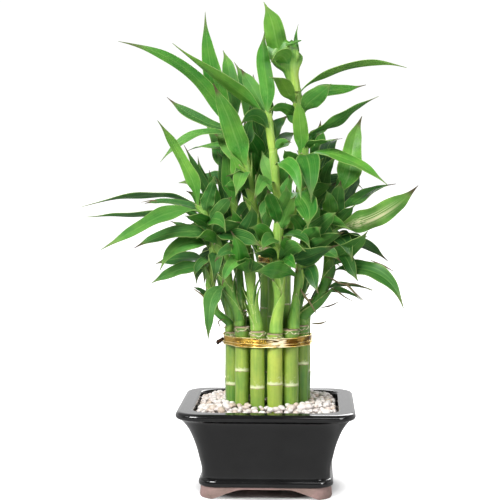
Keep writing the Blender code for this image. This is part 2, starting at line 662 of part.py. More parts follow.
def facing_turn(base, tip):
    """The turn about its own length that brings a blade from lying level to facing the front."""
    ahead = (tip - base).normalized()
    level, sign = leaf_frame(base, tip)
    above = level.cross(ahead) * sign
    front = Vector((0, -1, 0)) + ahead * ahead.y
    turn = math.atan2(-front.dot(level), front.dot(above))
    return turn - math.pi if turn > math.pi / 2 else turn


def leaf_curve(base, tip, bow):
    across, sign = leaf_frame(base, tip)
    chord = tip - base
    above = (across.cross(chord) * sign).normalized()
    knee = base + chord * 0.42 + above * 2 * bow
    def at(share):
        return base * (1 - share) ** 2 + knee * 2 * share * (1 - share) + tip * share ** 2
    return at


def add_leaf(shape, base, leaf):
    """A closed blade with four corners at each station: its two edges, its midrib and its back."""
    tip = Vector(leaf.tip)
    across, sign = leaf_frame(base, tip)
    at = leaf_curve(base, tip, leaf.bow)
    roll = facing_turn(base, tip) * leaf.roll / 90
    rings = []
    for share in LEAF_STATIONS:
        ahead = (at(min(share + 0.02, 1.0)) - at(max(share - 0.02, 0.0))).normalized()
        level = (across - ahead * across.dot(ahead)).normalized()
        above = level.cross(ahead) * sign
        side = level * math.cos(roll) + above * math.sin(roll)
        face = above * math.cos(roll) - level * math.sin(roll)
        half = leaf.width / 2 * leaf_width(share)
        thick = LEAF_THICKNESS * (1 - 0.6 * share)
        middle = at(share)
        lift = face * (LEAF_FOLD * half)
        rings.append([middle + side * half + lift, middle + face * thick / 2 - lift,
                      middle - side * half + lift, middle - face * thick / 2 - lift])
    corners = loft(shape, rings, close_ends=False)
    shape.faces.new(list(reversed(corners[0])))
    point = shape.verts.new(mm(tip))
    last = corners[-1]
    for i in range(4):
        shape.faces.new((last[i], last[(i + 1) % 4], point))


def build_shoot(name, stem, canes):
    """A bare shoot, and the leaves whose sheaths wrap its upper part like a cap."""
    points = stem_points(stem, canes)
    stations = spread(0.0, 1.0, STEM_STATIONS)
    stem_green = material("shoot_green", (0.28, 0.47, 0.10), 0.4)
    shoot_rings = tube_rings(points, stations, stem_radius(stem))
    add_object("shoot_" + name, lofted("shoot_" + name, shoot_rings), stem_green)

    leaves = [leaf for leaf in LEAVES if leaf.stem == name]
    start = share_at_height(points, min(leaf.height for leaf in leaves) - 4.0)
    shape = bmesh.new()
    sheath = tube_rings(points, spread(start, 1.0, SHEATH_STATIONS), stem_radius(stem, GAP + SHEATH_WALL))
    end = curve_point(points, 1.0)
    ahead = (end - curve_point(points, 0.97)).normalized()
    sheath.append([end + ahead * 2.5 + (point - end) * 0.6 for point in sheath[-1]])
    loft(shape, sheath)
    for leaf in leaves:
        centre = curve_point(points, share_at_height(points, leaf.height))
        way = Vector((leaf.tip[0] - centre.x, leaf.tip[1] - centre.y, 0)).normalized()
        add_leaf(shape, centre + way * (stem.high_radius - 0.3), leaf)
    tuft_name = "leaves_" + name
    leaf_green = material("leaf_green", (0.10, 0.33, 0.05), 0.4)
    tuft = add_object(tuft_name, finished(shape, tuft_name), leaf_green)

    room = tube_rings(points, stations, stem_radius(stem, GAP))
    below = [point - Vector((0, 0, 1)) for point in room[0]]
    above = [point + ahead * GAP for point in room[-1]]
    helper = add_object("room_" + name, lofted("room_" + name, [below] + room[:-1] + [above]))
    boolean(tuft, helper, "DIFFERENCE", use_self=True)


def main():
    clear_scene()
    build_pot()
    places = build_canes()
    holes = planting_holes(places)
    build_soil(holes)
    build_pebbles(holes)
    build_ties(places)
    canes = {cane.name: cane for cane in SHORT_CANES + TALL_CANES}
    for name, stem in STEMS.items():
        build_shoot(name, stem, canes)


main()
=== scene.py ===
"""The looks of a potted lucky bamboo: glazed pot, pebbles, canes, gold ties, shoots and leaves.

Shapes are worked out in millimetres from the pot's middle, and settle() or place() puts them where the pot
stands, in metres. Straight pieces are modelled first. Shoots and leaves are then bent along the lines that
they grow on.
"""

import math
import random
from collections import namedtuple

import bmesh
import bpy
from mathutils import Matrix, Vector


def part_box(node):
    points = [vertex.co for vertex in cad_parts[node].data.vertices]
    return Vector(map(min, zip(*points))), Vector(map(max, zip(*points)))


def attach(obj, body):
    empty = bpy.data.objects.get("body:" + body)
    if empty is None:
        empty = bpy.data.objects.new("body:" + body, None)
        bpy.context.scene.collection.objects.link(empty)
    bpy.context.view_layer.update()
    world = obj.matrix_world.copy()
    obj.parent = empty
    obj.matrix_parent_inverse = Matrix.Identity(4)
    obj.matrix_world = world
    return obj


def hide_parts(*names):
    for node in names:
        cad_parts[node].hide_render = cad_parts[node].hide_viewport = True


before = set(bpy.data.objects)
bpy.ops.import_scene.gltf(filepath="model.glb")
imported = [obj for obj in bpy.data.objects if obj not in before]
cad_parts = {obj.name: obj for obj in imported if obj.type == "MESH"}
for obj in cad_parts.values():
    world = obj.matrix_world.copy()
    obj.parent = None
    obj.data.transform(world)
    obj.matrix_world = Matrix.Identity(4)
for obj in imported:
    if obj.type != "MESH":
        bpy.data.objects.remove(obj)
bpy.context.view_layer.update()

MM = 0.001
POT_LOW, POT_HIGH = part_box("pot")
MIDDLE = Vector(((POT_LOW.x + POT_HIGH.x) / 2, (POT_LOW.y + POT_HIGH.y) / 2, 0.0))
UP = Vector((0.0, 0.0, 1.0))
ANY_TURN = 6.28  # a random turn or phase is drawn up to this, just short of a full turn

# The pot. CORNER_SHARE is how much of half its width the rounding of a corner takes.
RIM_TOP = 71.5
RIM_HALF = 71.8
LIP_HEIGHT = 6.5
FLOOR_TOP = 20.0
BODY_BOTTOM = 10.0
FOOT_HALF = 53.4
FOOT_HEIGHT = 12.0
ARCH_HALF_FOOT = 43.5
ARCH_HALF_TOP = 19.0
ARCH_HEIGHT = 8.4
ARCH_DROP = 3.0
CORNER_SHARE = 0.28

# The pebbles: the bed's height at its edge and in its middle, half its width, how far out a pebble may
# reach, how far out its middle is tried, and how far in under the canes the lower layers go.
PEBBLE_EDGE = 68.5
PEBBLE_HEAP = 75.5
PEBBLE_HALF = 58.2
PEBBLE_WALL = 57.0
PEBBLE_REACH = 56
PEBBLE_UNDER = 14
PEBBLE_SIZES = (1.9, 2.3, 2.6, 2.9, 3.3, 4.0)
PEBBLE_SHAPES = 6
# How deep each layer lies, how widely its pebbles are spaced and how many are tried.
PEBBLE_LAYERS = ((8.5, 1.5, 900), (4.6, 1.35, 1500), (1.2, 1.25, 3200))

# The canes: a ring of short ones round three tall ones.
BUNDLE_RADIUS = 36.0
CANE_FOOT = 30.0
CANE_SIDES = 40
TALL_TOP = 197.0
TALL_MIDDLE = Vector((6.5, 0.0))
TALL_SPREAD = 7.75
SCAR_STEPS = 48

# The ties: the bottom and top of each band, and the place between them and radius of each strand.
LOWER_TIE = (120.0, 127.6)
LOWER_STRANDS = ((0.07, 0.5), (0.36, 0.3), (0.97, 0.45))
UPPER_TIE = (186.5, 191.5)
UPPER_STRANDS = ((0.12, 0.5), (0.88, 0.5))
FOIL_THICKNESS = 0.3
TWIST_STEPS = 21

# The shoots and their sheaths.
STEM_RISE = 7.0
GAP = 0.35
SHOOT_SIDES = 18
WHORL_SHOOT = "tall_right"
WHORL_SIDES = 36
DRY_STEPS = 16
SHEATH_WALL = 0.2
SHEATH_THICKNESS = 0.3
SHEATH_ROWS = 14
SHEATH_COLUMNS = 10

# The leaves. LEAF_WIDEST is a share of the blade's length, LEAF_PETIOLE and LEAF_FOLD of its width.
STRIPED_TIP = (122, -30, 251)
STRIPED_TONE = 1.5
TIP_REACH = 0.992
LEAF_THICKNESS = 0.42
LEAF_FOLD = 0.16
LEAF_WIDEST = 0.36
LEAF_PETIOLE = 0.26
LEAF_ROWS = 40
LEAF_COLUMNS = 10
# How much one leaf can differ from another: the most that it twists, in degrees, how far it folds, how high
# and how often its margins ripple, and how much its width swells.
LEAF_TWIST = 42
LEAF_FOLDS = (0.4, 2.2)
LEAF_RIPPLES = (0.03, 0.11)
LEAF_PACES = (1.4, 3.2)
LEAF_SWELLS = (0.04, 0.16)

# The studio.
WORLD_LIGHT = 0.12
SHOWN_WHITE = 1.05
FLOOR_GLOW = 1.1
SHADOW_INNER = 0.046
SHADOW_OUTER = 0.078
FRONT_MIRROR = 0.12
STRIP_MIRROR = 11.0
LAMP_AIM = Vector((0.0, 0.0, 0.18))
CAMERA_AIM = Vector((MIDDLE.x - 0.0145, MIDDLE.y, 0.1968))
CAMERA_TURN = math.radians(2.5)
CAMERA_RISE = math.radians(3.5)
CAMERA_DISTANCE = 1.2
CAMERA_LENS = 104.6

# Colours, as linear red, green and blue.
CANE_GREEN = (0.095, 0.235, 0.030)
CANE_YELLOW = (0.40, 0.50, 0.075)
CANE_BAND = (0.72, 0.76, 0.48)
CANE_CUT = (0.20, 0.13, 0.07)
SHOOT_GREEN = (0.065, 0.215, 0.021)
SHOOT_YELLOW = (0.36, 0.55, 0.085)
SHOOT_BAND = (0.42, 0.54, 0.17)
SHOOT_CUT = (0.30, 0.22, 0.12)
WITHERED_BROWN = (0.075, 0.05, 0.03)
WITHERED_STRAW = (0.20, 0.17, 0.06)
WITHERED_BAND = (0.24, 0.20, 0.10)
WITHERED_CUT = (0.10, 0.06, 0.045)
CRACK_PALE = (0.62, 0.50, 0.33)
UPPER_DEEP = (0.012, 0.075, 0.012)
UPPER_FRESH = (0.050, 0.225, 0.022)
UPPER_YOUNG = (0.175, 0.355, 0.040)
UNDER_DEEP = (0.020, 0.095, 0.018)
UNDER_FRESH = (0.070, 0.24, 0.034)
UNDER_YOUNG = (0.160, 0.35, 0.055)
VEIN_GREEN = (0.26, 0.46, 0.10)
STRIPE_CREAM = (0.74, 0.74, 0.42)
RIB_GREEN = (0.28, 0.46, 0.12)
# The leaves' painted rim highlight:
RIM_HIGHLIGHT_GREEN = (0.38, 0.52, 0.15)
ROOT_GREEN = (0.20, 0.38, 0.07)
PALING_GREEN = (0.30, 0.36, 0.12)
TIP_BROWN = (0.075, 0.047, 0.024)
GLAZE_CHARCOAL = (0.0082, 0.0082, 0.0084)
CLAY_PINK = (0.265, 0.175, 0.155)
CLAY_SPECK = (0.12, 0.075, 0.06)
STONE_CREAM = (0.74, 0.71, 0.67)
STONE_PINK = (0.69, 0.625, 0.60)
STONE_TAN = (0.57, 0.46, 0.37)
STONE_SPECK = (0.33, 0.24, 0.18)
GOLD_BRIGHT = (1.0, 0.84, 0.40)
GOLD_DEEP = (0.62, 0.39, 0.07)
# The colour of the foil's painted highlight:
GOLD_HIGHLIGHT = (1.0, 0.92, 0.66)
BAND_GOLD = (0.54, 0.34, 0.06)
BAND_BROWN = (0.10, 0.045, 0.008)
WIRE_BROWN = (0.04, 0.022, 0.014)
WIRE_BLACK = (0.012, 0.009, 0.007)
SOIL_BROWN = (0.075, 0.048, 0.03)
WHITE = (1.0, 1.0, 1.0)
FLOOR_LIGHT = (0.52, 0.52, 0.52)
FLOOR_DARK = (0.48, 0.48, 0.48)

Cane = namedtuple("Cane", "name angle top radius rings")
Stem = namedtuple("Stem", "cane low_radius high_radius points")
Leaf = namedtuple("Leaf", "stem height tip width bow roll")

SHORT_CANES = [
    Cane("cane_front_left", -14, 133, 6.3, (87, 130)),
    Cane("cane_front", 13.5, 131, 6.5, (90, 128.5)),
    Cane("cane_front_right", 42, 134, 7.1, (88, 131)),
    Cane("cane_right", 70.5, 136, 6.3, (104, 130)),
    Cane("cane_right_back", 97, 146, 6.3, (96, 143)),
    Cane("cane_back_right", 124, 142, 6.4, (84, 139)),
    Cane("cane_back_middle_right", 152, 144, 6.3, (101, 141)),
    Cane("cane_back", 180, 144, 6.4, (92, 141)),
    Cane("cane_back_middle_left", -152.5, 139, 6.3, (86, 136)),
    Cane("cane_back_left", -125, 145, 6.4, (98, 142)),
    Cane("cane_left_back", -97.5, 134, 6.3, (90, 131)),
    Cane("cane_left", -70, 130, 6.3, (87, 127)),
    Cane("cane_left_front", -42, 136, 6.3, (100, 133)),
]
TALL_CANES = [
    Cane("tall_cane_front", 0, TALL_TOP, 6.4, (92, 143, 181)),
    Cane("tall_cane_right", 120, TALL_TOP + 1, 6.4, (104, 152, 184)),
    Cane("tall_cane_left", -120, TALL_TOP + 2, 6.4, (96, 149, 183)),
]

# How yellow each cane is, from 0 for deep green to 1 for yellow-green, where it isn't the usual tone.
USUAL_CANE_TONE = 0.4
CANE_TONE = {
    "cane_left_front": 0.55, "cane_front_left": 0.62, "cane_front": 0.95, "cane_front_right": 0.48,
    "cane_left": 0.35, "cane_right": 0.3,
}

# The same for each shoot.
USUAL_SHOOT_TONE = 0.3
SHOOT_TONE = {
    "tall_middle": 0.85, "tall_left": 0.62, "front": 0.7, "front_left": 0.5, "front_right": 0.5,
    "left_outer": 0.4, "right": 0.12, "tall_right": 0.55,
}

# Shoots: the cane that each grows from, its radius at both ends, and the points that it passes. The first
# point is on top of the cane, so it gives no height.
STEMS = {
    "left_outer": Stem("cane_left", 2.4, 1.8,
                       [(-31, -11), (-42, -14, 148), (-46, -14, 165), (-45, -12, 188), (-43, -10, 211)]),
    "left_back": Stem("cane_left_back", 2.8, 2.2,
                      [(-31, 5), (-37, 10, 163), (-39, 12, 200), (-41, 12, 231)]),
    "left": Stem("cane_left_front", 3.3, 2.2,
                 [(-22, -22), (-29, -25, 164), (-35, -23, 190), (-45, -18, 214), (-55, -14, 235)]),
    "front_left": Stem("cane_front_left", 3.6, 2.6,
                       [(-8, -29), (-12, -31, 162), (-13, -30, 184), (-17, -27, 207)]),
    "front": Stem("cane_front", 3.8, 2.8,
                  [(8, -29), (11, -31, 166), (9, -30, 199), (10, -26, 226)]),
    "front_right": Stem("cane_front_right", 3.5, 2.5,
                        [(22, -21), (25, -25, 164), (28, -24, 187), (31, -22, 206)]),
    "right": Stem("cane_right", 4.0, 2.6,
                  [(29, -10), (41, -9, 156), (49, -6, 175), (51, -2, 197), (54, 2, 220), (57, 6, 244)]),
    "back_right": Stem("cane_back_right", 2.8, 2.2,
                       [(25, 18), (33, 26, 179), (37, 32, 225), (41, 36, 264)]),
    "back": Stem("cane_back", 2.8, 2.2,
                 [(-1, 29), (-6, 33, 179), (-8, 38, 237), (-10, 40, 294)]),
    "back_left": Stem("cane_back_left", 2.8, 2.2,
                      [(-22, 18), (-25, 24, 179), (-28, 28, 222), (-32, 30, 264)]),
    "tall_left": Stem("tall_cane_left", 2.8, 2.2,
                      [(-1, 3), (-8, -2, 220), (-14, -7, 248), (-18, -8, 271), (-23, -7, 289),
                       (-27, -6, 302)]),
    "tall_middle": Stem("tall_cane_front", 2.9, 2.2,
                        [(7, -8), (11, -11, 227), (7, -12, 256), (3, -11, 289), (1, -9, 310)]),
    "tall_right": Stem("tall_cane_right", 3.0, 3.4,
                       [(15, 4), (23, 5, 226), (28, 5, 254), (29, 5, 279), (26, 3, 310), (21, 1, 334),
                        (21, 0, 347)]),
}

# Ends of leaves that have dried and curled: the shoot, half the thickness, and the points that each passes.
DRY_ENDS = [
    ("right", 0.65, [(47, -12, 176), (52, -18, 175), (61, -20, 170.6), (72, -20, 170.6), (86, -20, 165)]),
    ("right", 0.6, [(50, -12, 168), (58, -20, 164), (63, -20, 160.4), (70, -20, 156.4)]),
    ("right", 0.8, [(60, -18, 171), (66, -20, 169), (71.6, -20, 163.3), (78, -20, 157.6)]),
    ("right", 0.6, [(44, -8, 150), (50, -18, 152.2), (54.3, -20, 154), (58.7, -20, 156.3)]),
    ("right", 0.7, [(36, -10, 137.5), (43, -16, 137.9), (49, -18, 140)]),
    ("right", 0.6, [(84, -18, 190), (92, -20, 186.7), (96.6, -20, 184.5), (102.7, -20, 181)]),
    ("front_right", 0.9, [(26, -28, 170), (30.3, -30, 162.4), (35.2, -30, 156), (40, -30, 147.9)]),
    ("front_right", 0.5, [(30, -29, 161), (34.4, -31, 164.1)]),
    ("front_right", 0.5, [(33, -29, 158.5), (37.6, -31, 159.2)]),
    ("left_outer", 0.9, [(-47, -16, 150), (-50.3, -20, 153.8), (-51.1, -20, 159.6), (-59.3, -20, 166.1)]),
    ("left", 0.5, [(-88, -30, 237.5), (-92, -30, 238.5), (-101.5, -30, 236.9)]),
    ("left_outer", 0.5, [(-34, -16, 141), (-39.3, -18, 139.4), (-37.6, -19, 133.6)]),
]

# The crumpled whorl of young leaves on the tallest shoot: height, middle, half breadth and half depth.
WHORL = [
    (327.0, 22.4, 4.7, 4.7), (334.0, 21.4, 5.0, 4.9), (339.0, 19.9, 5.6, 5.2), (343.0, 18.9, 6.7, 5.4),
    (347.0, 16.4, 10.0, 5.8), (351.0, 14.8, 12.2, 6.0), (355.0, 14.0, 13.2, 6.4), (359.5, 12.4, 12.8, 6.2),
    (363.5, 12.2, 12.4, 5.6), (366.5, 12.4, 10.6, 4.6), (368.0, 13.0, 7.0, 3.0),
]

# Leaves: the shoot, the height where the leaf leaves it, the tip, the width, how far the blade bows above the
# straight line from base to tip, and its roll, from 0 for a level blade to 90 for one that faces the front.
# Each leaf's own chances are drawn from its place in this list.
LEAVES = [
    Leaf("tall_left", 277, (-117, -50, 365), 13, 19, 60),
    Leaf("tall_middle", 303, (-75, -40, 364), 12, 6, 50),
    Leaf("tall_left", 297, (-50, -20, 391), 15, -6, 75),
    Leaf("tall_left", 292, (-86, 25, 324), 12, -3, 35),
    Leaf("tall_left", 298, (-39, 35, 364), 16, 3, 75),
    Leaf("back", 287, (-31, 60, 356), 15, 3, 70),
    Leaf("tall_middle", 308, (-2, -14, 376), 14, 1, 85),
    Leaf("tall_right", 346, (-3, -14, 399), 24, -3, 85),
    Leaf("tall_right", 342, (3, -25, 349), 19, 9, 60),
    Leaf("tall_right", 346, (25, 8, 383), 4, 1, 80),
    Leaf("tall_right", 326, (113, -20, 345), 10, 9, 25),
    Leaf("tall_right", 320, (82, 30, 334), 11, 4, 68),
    Leaf("tall_right", 308, (52, -30, 332), 19, 4, 70),
    Leaf("tall_right", 290, (90, -30, 322), 11, -3, 35),
    Leaf("tall_right", 277, (63, 45, 305), 10, 8, 25),
    Leaf("tall_right", 280, (57, -35, 288), 9, 2, 20),
    Leaf("tall_right", 274, (97, -40, 251), 12, 9, 40),
    Leaf("tall_right", 272, (36, -40, 237), 21, 14, 75),
    Leaf("tall_middle", 266, (28, -50, 239), 12, 12, 60),
    Leaf("tall_right", 241, (33, -60, 217), 21, 10, 65),
    Leaf("tall_middle", 238, (-4, -40, 224), 11, 5, 35),
    Leaf("tall_right", 220, (69, -45, 215), 12, 9, 45),
    Leaf("tall_middle", 209, (36, -55, 200), 10, 5, 40),
    Leaf("tall_left", 285, (-88, -12, 269), 10, 15, 30),
    Leaf("tall_left", 274, (-70, 45, 279), 11, 6, 25),
    Leaf("back", 233, (3, 5, 290), 19, -3, 80),
    Leaf("back", 266, (-17, 10, 305), 14, 2, 75),
    Leaf("left", 233, (-87, -38, 303), 11.5, 3, 60),
    Leaf("left", 232, (-151, -25, 233), 10, 10, 30),
    Leaf("left", 229, (-154, 20, 223), 10, -3, 30),
    Leaf("left", 227, (-128, -75, 201), 14, 9, 50),
    Leaf("left", 224, (-107, 40, 234), 10, 6, 20),
    Leaf("left_back", 228, (-48, -5, 263), 8, 1, 80),
    Leaf("left_back", 226, (-60, 30, 275), 8, 2, 75),
    Leaf("left_back", 223, (-71, 20, 284), 9, 1, 70),
    Leaf("left_back", 216, (-68, 0, 246), 20, 3, 70),
    Leaf("left", 209, (-2, -66, 203), 14, 3, 50),
    Leaf("left_back", 195, (-56, 40, 164), 12, 12, 70),
    Leaf("left_outer", 207, (-105, -50, 201), 15, 9, 50),
    Leaf("left_outer", 204, (-83, 20, 220), 8, 4, 30),
    Leaf("left_outer", 199, (-86, -35, 182), 15, 12, 60),
    Leaf("left_outer", 186, (-95, 15, 184), 14, 5, 40),
    Leaf("left_outer", 181, (-94, -30, 171), 12, 6, 45),
    Leaf("left_outer", 157, (-60, -22, 168), 5, 2, 60),
    Leaf("left", 169, (-46, -46, 127), 12, 12, 75),
    Leaf("front_left", 179, (-27, -62, 216), 20, -3, 80),
    Leaf("front_left", 194, (-40, -60, 191), 14, 6, 60),
    Leaf("front_left", 202, (-11, -55, 236), 14, 2, 70),
    Leaf("front", 189, (-13, -68, 198), 12, 5, 45),
    Leaf("front", 190, (58, -62, 205), 18, -4, 60),
    Leaf("front", 218, (2, -60, 248), 12, 2, 70),
    Leaf("front", 221, (16, -58, 252), 11, 2, 70),
    Leaf("front_right", 176, (-9, -86, 185), 16, 3, 70),
    Leaf("front_right", 182, (42, -55, 165), 16, 8, 75),
    Leaf("front_right", 202, (56, -50, 230), 16, 2, 65),
    Leaf("front_right", 203, (41, -38, 239), 14, 2, 75),
    Leaf("right", 241, (78, 15, 308), 20, -3, 65),
    Leaf("right", 238, (74, 40, 282), 8, 2, 60),
    Leaf("right", 231, (79, 50, 264), 16, 2, 60),
    Leaf("right", 227, (108, 42, 251), 11, 3, 45),
    Leaf("right", 212, (122, -30, 251), 21, -5, 65),
    Leaf("right", 188, (81, -45, 215), 22, -2, 60),
    Leaf("right", 192, (101, 25, 186), 15, 12, 40),
    Leaf("right", 178, (111, -35, 151), 16, 14, 45),
    Leaf("right", 163, (87, -22, 166), 8, 6, 30),
    Leaf("right", 159, (78, 5, 155), 8, 7, 40),
    Leaf("back_right", 240, (57, 10, 275), 11, 1, 60),
    Leaf("back_right", 257, (63, 75, 290), 16, 6, 50),
    Leaf("back_right", 249, (44, 80, 306), 16, 4, 60),
    Leaf("back_right", 237, (81, 80, 246), 16, 10, 35),
    Leaf("back_right", 219, (51, 84, 223), 18, 12, 40),
    Leaf("back_left", 257, (-60, 70, 306), 16, 5, 50),
    Leaf("back_left", 252, (-37, 80, 328), 15, 4, 65),
    Leaf("back_left", 244, (-81, 78, 251), 16, 10, 35),
    Leaf("back_left", 227, (-43, 84, 235), 18, 12, 40),
    Leaf("back", 285, (-4, 75, 336), 16, 3, 60),
    Leaf("back", 274, (16, 84, 311), 16, 8, 50),
    Leaf("back", 262, (-29, 85, 287), 16, 10, 40),
    Leaf("back", 240, (11, 86, 247), 18, 12, 35),
    Leaf("tall_left", 263, (-43, -34, 333), 20, 3, 80),
    Leaf("tall_right", 316, (2, -34, 337), 13, 4, 60),
    Leaf("tall_right", 274, (25, -12, 323), 13, 2, 85),
    Leaf("tall_middle", 295, (-19, 22, 320), 13, 4, 70),
    Leaf("tall_middle", 277, (23, 26, 294), 12, 3, 50),
    Leaf("tall_left", 258, (-24, -48, 242), 13, 8, 75),
    Leaf("tall_left", 246, (-32, -42, 258), 12, 5, 65),
    Leaf("tall_middle", 251, (-10, -40, 238), 12, 8, 65),
    Leaf("left", 219, (-31, -60, 214), 12, 6, 60),
    Leaf("left_back", 208, (-79, 44, 206), 12, 6, 45),
    Leaf("front_left", 189, (-34, -62, 172), 11, 9, 60),
    Leaf("front_right", 193, (62, -62, 215), 13, 3, 60),
    Leaf("front_right", 193, (60, -46, 190), 12, 6, 65),
    Leaf("right", 220, (48, -44, 247), 12, 2, 75),
    Leaf("right", 201, (86, 44, 198), 14, 4, 55),
    Leaf("back_right", 225, (38, 14, 268), 14, 2, 75),
    Leaf("back_right", 204, (69, 70, 193), 14, 8, 45),
    Leaf("back_right", 194, (30, 86, 182), 13, 8, 45),
    Leaf("back_left", 217, (-11, 0, 241), 13, 3, 75),
    Leaf("back_left", 207, (-55, 70, 209), 13, 8, 45),
    Leaf("back", 219, (-22, 86, 208), 14, 10, 40),
    Leaf("back", 237, (-16, 30, 306), 16, -1, 80),
    Leaf("back", 233, (6, 20, 288), 16, 2, 80),
    Leaf("back", 224, (-21, 25, 279), 15, 2, 75),
    Leaf("back_left", 233, (-35, 20, 288), 15, 0, 75),
    Leaf("back_left", 212, (-46, 30, 258), 14, 0, 70),
    Leaf("back_right", 237, (53, 20, 273), 16, 3, 75),
    Leaf("back_right", 225, (57, 10, 253), 16, 3, 75),
    Leaf("back_right", 212, (66, 30, 234), 15, 4, 65),
    Leaf("back", 219, (13, 40, 246), 16, 3, 75),
    Leaf("back_right", 233, (23, 60, 280), 14, 3, 70),
    Leaf("back_left", 207, (-47, 45, 218), 14, 5, 60),
    Leaf("back", 227, (-28, 75, 192), 15, 12, 60),
    Leaf("back_left", 207, (-55, 60, 186), 13, 7, 50),
    Leaf("back_right", 194, (61, 60, 179), 13, 7, 50),
    Leaf("tall_left", 246, (-30, -15, 279), 14, -1, 75),
    Leaf("tall_left", 246, (-35, -22, 250), 14, 3, 75),
    Leaf("tall_middle", 238, (-5, 2, 279), 14, 2, 80),
    Leaf("tall_middle", 229, (19, -20, 261), 12, 3, 75),
    Leaf("tall_right", 246, (46, -12, 273), 16, 2, 80),
    Leaf("tall_right", 234, (53, -18, 252), 17, 3, 80),
    Leaf("tall_right", 220, (46, -22, 240), 15, 3, 75),
    Leaf("right", 220, (60, -24, 255), 14, 2, 80),
    Leaf("right", 212, (72, -20, 235), 14, 2, 75),
    Leaf("right", 207, (69, -36, 190), 15, 8, 60),
    Leaf("right", 192, (74, -30, 173), 13, 8, 50),
    Leaf("right", 195, (81, -34, 210), 19, 4, 70),
    Leaf("right", 197, (46, -34, 226), 15, -1, 80),
    Leaf("front_right", 198, (44, -60, 219), 15, 4, 70),
    Leaf("front_right", 185, (13, -64, 212), 13, 5, 60),
    Leaf("front", 220, (1, -56, 247), 12, 2, 80),
    Leaf("front", 213, (24, -46, 243), 13, 2, 80),
    Leaf("front", 199, (-13, -60, 218), 13, 4, 70),
    Leaf("front", 189, (32, -70, 200), 14, 6, 55),
    Leaf("front_left", 202, (-27, -44, 233), 13, 3, 75),
    Leaf("front_left", 190, (-29, -56, 205), 15, 1, 65),
    Leaf("front_left", 181, (-23, -60, 191), 12, 6, 55),
    Leaf("left", 209, (-20, -52, 222), 14, 4, 70),
    Leaf("left", 227, (-42, -30, 258), 12, 2, 80),
    Leaf("left", 217, (-27, -36, 242), 13, 3, 75),
    Leaf("left", 201, (-55, -50, 209), 13, 6, 55),
    Leaf("left", 193, (-42, -50, 173), 11, 9, 65),
    Leaf("left_back", 216, (-52, 14, 246), 12, -4, 75),
    Leaf("left_back", 204, (-29, 0, 227), 13, 3, 70),
    Leaf("left_back", 199, (-67, 30, 195), 12, 6, 45),
    Leaf("left_outer", 205, (-58, -12, 220), 12, 4, 60),
    Leaf("left_outer", 196, (-28, -18, 201), 11, 4, 60),
    Leaf("tall_middle", 302, (-23, 10, 347), 15, 2, 80),
    Leaf("tall_middle", 299, (-13, 22, 343), 13, 2, 80),
    Leaf("tall_middle", 295, (-21, -40, 298), 13, 10, 60),
    Leaf("tall_right", 305, (1, -24, 310), 10, 5, 60),
    Leaf("back", 213, (-24, 30, 262), 18, 2, 80),
    Leaf("back", 203, (4, 24, 243), 16, 2, 80),
    Leaf("back", 190, (-16, 28, 218), 14, 3, 75),
    Leaf("back_right", 196, (16, 26, 226), 15, 3, 75),
    Leaf("left_back", 188, (-60, 20, 213), 13, 3, 70),
    Leaf("back_right", 180, (48, 30, 200), 14, 3, 70),
    Leaf("tall_middle", 236, (16, 16, 276), 15, 2, 80),
    Leaf("back_left", 192, (-34, 30, 222), 14, 3, 75),
    Leaf("tall_right", 296, (14, 14, 319), 13, 2, 80),
    Leaf("back", 278, (-14, 30, 323), 15, 2, 80),
    Leaf("back", 267, (2, 34, 311), 15, -1, 80),
    Leaf("back", 261, (-21, 40, 307), 14, -1, 75),
    Leaf("tall_left", 273, (-32, -20, 310), 14, 2, 80),
    Leaf("tall_left", 264, (-46, 4, 294), 14, 3, 75),
    Leaf("tall_left", 279, (-11, 6, 306), 12, 2, 80),
    Leaf("back_left", 260, (-26, 30, 298), 15, 2, 80),
    Leaf("back_left", 244, (-44, 24, 279), 13, 0, 75),
    Leaf("tall_middle", 277, (20, -22, 285), 9, 4, 60),
    Leaf("tall_right", 278, (43, 12, 293), 13, 3, 75),
    Leaf("back_right", 246, (45, 34, 281), 14, 9, 75),
    Leaf("tall_right", 261, (14, -24, 279), 12, 3, 75),
    Leaf("front_left", 179, (4, -60, 185), 11, 6, 50),
    Leaf("front", 189, (26, -66, 184), 10, 5, 50),
    Leaf("left", 183, (-49, -44, 187), 12, 6, 55),
    Leaf("left_outer", 188, (-58, -30, 177), 11, 6, 50),
    Leaf("left_back", 195, (-61, 24, 166), 11, 7, 50),
    Leaf("right", 182, (78, -10, 183), 12, 8, 50),
    Leaf("back_right", 195, (72, 44, 191), 12, 7, 50),
    Leaf("left", 210, (-72, -8, 235), 12, 2, 35),
    Leaf("left", 213, (-64, -52, 227), 13, 5, 55),
    Leaf("front_right", 205, (19, -48, 228), 13, 6, 75),
    Leaf("front", 203, (-2, -76, 201), 12, 7, 50),
]


def place(point):
    """A point from the pot's middle, in millimetres, as a point of the plant in metres."""
    return Vector(point) * MM + MIDDLE


# Node trees

def feed(tree, socket, value):
    """Links a socket to another, or sets its value."""
    if isinstance(value, bpy.types.NodeSocket):
        tree.links.new(value, socket)
    elif socket.type == "RGBA" and len(value) == 3:
        socket.default_value = (*value, 1.0)
    else:
        socket.default_value = value


def add_node(tree, kind, inputs=None, **settings):
    node = tree.nodes.new(kind)
    for name, value in settings.items():
        setattr(node, name, value)
    for socket, value in (inputs or {}).items():
        feed(tree, node.inputs[socket], value)
    return node


def maths(tree, operation, first, second=0.0, clamp=False):
    node = add_node(tree, "ShaderNodeMath", {0: first, 1: second}, operation=operation, use_clamp=clamp)
    return node.outputs[0]


def plus(tree, first, second, clamp=False):
    return maths(tree, "ADD", first, second, clamp)


def minus(tree, first, second, clamp=False):
    return maths(tree, "SUBTRACT", first, second, clamp)


def times(tree, first, second):
    return maths(tree, "MULTIPLY", first, second)


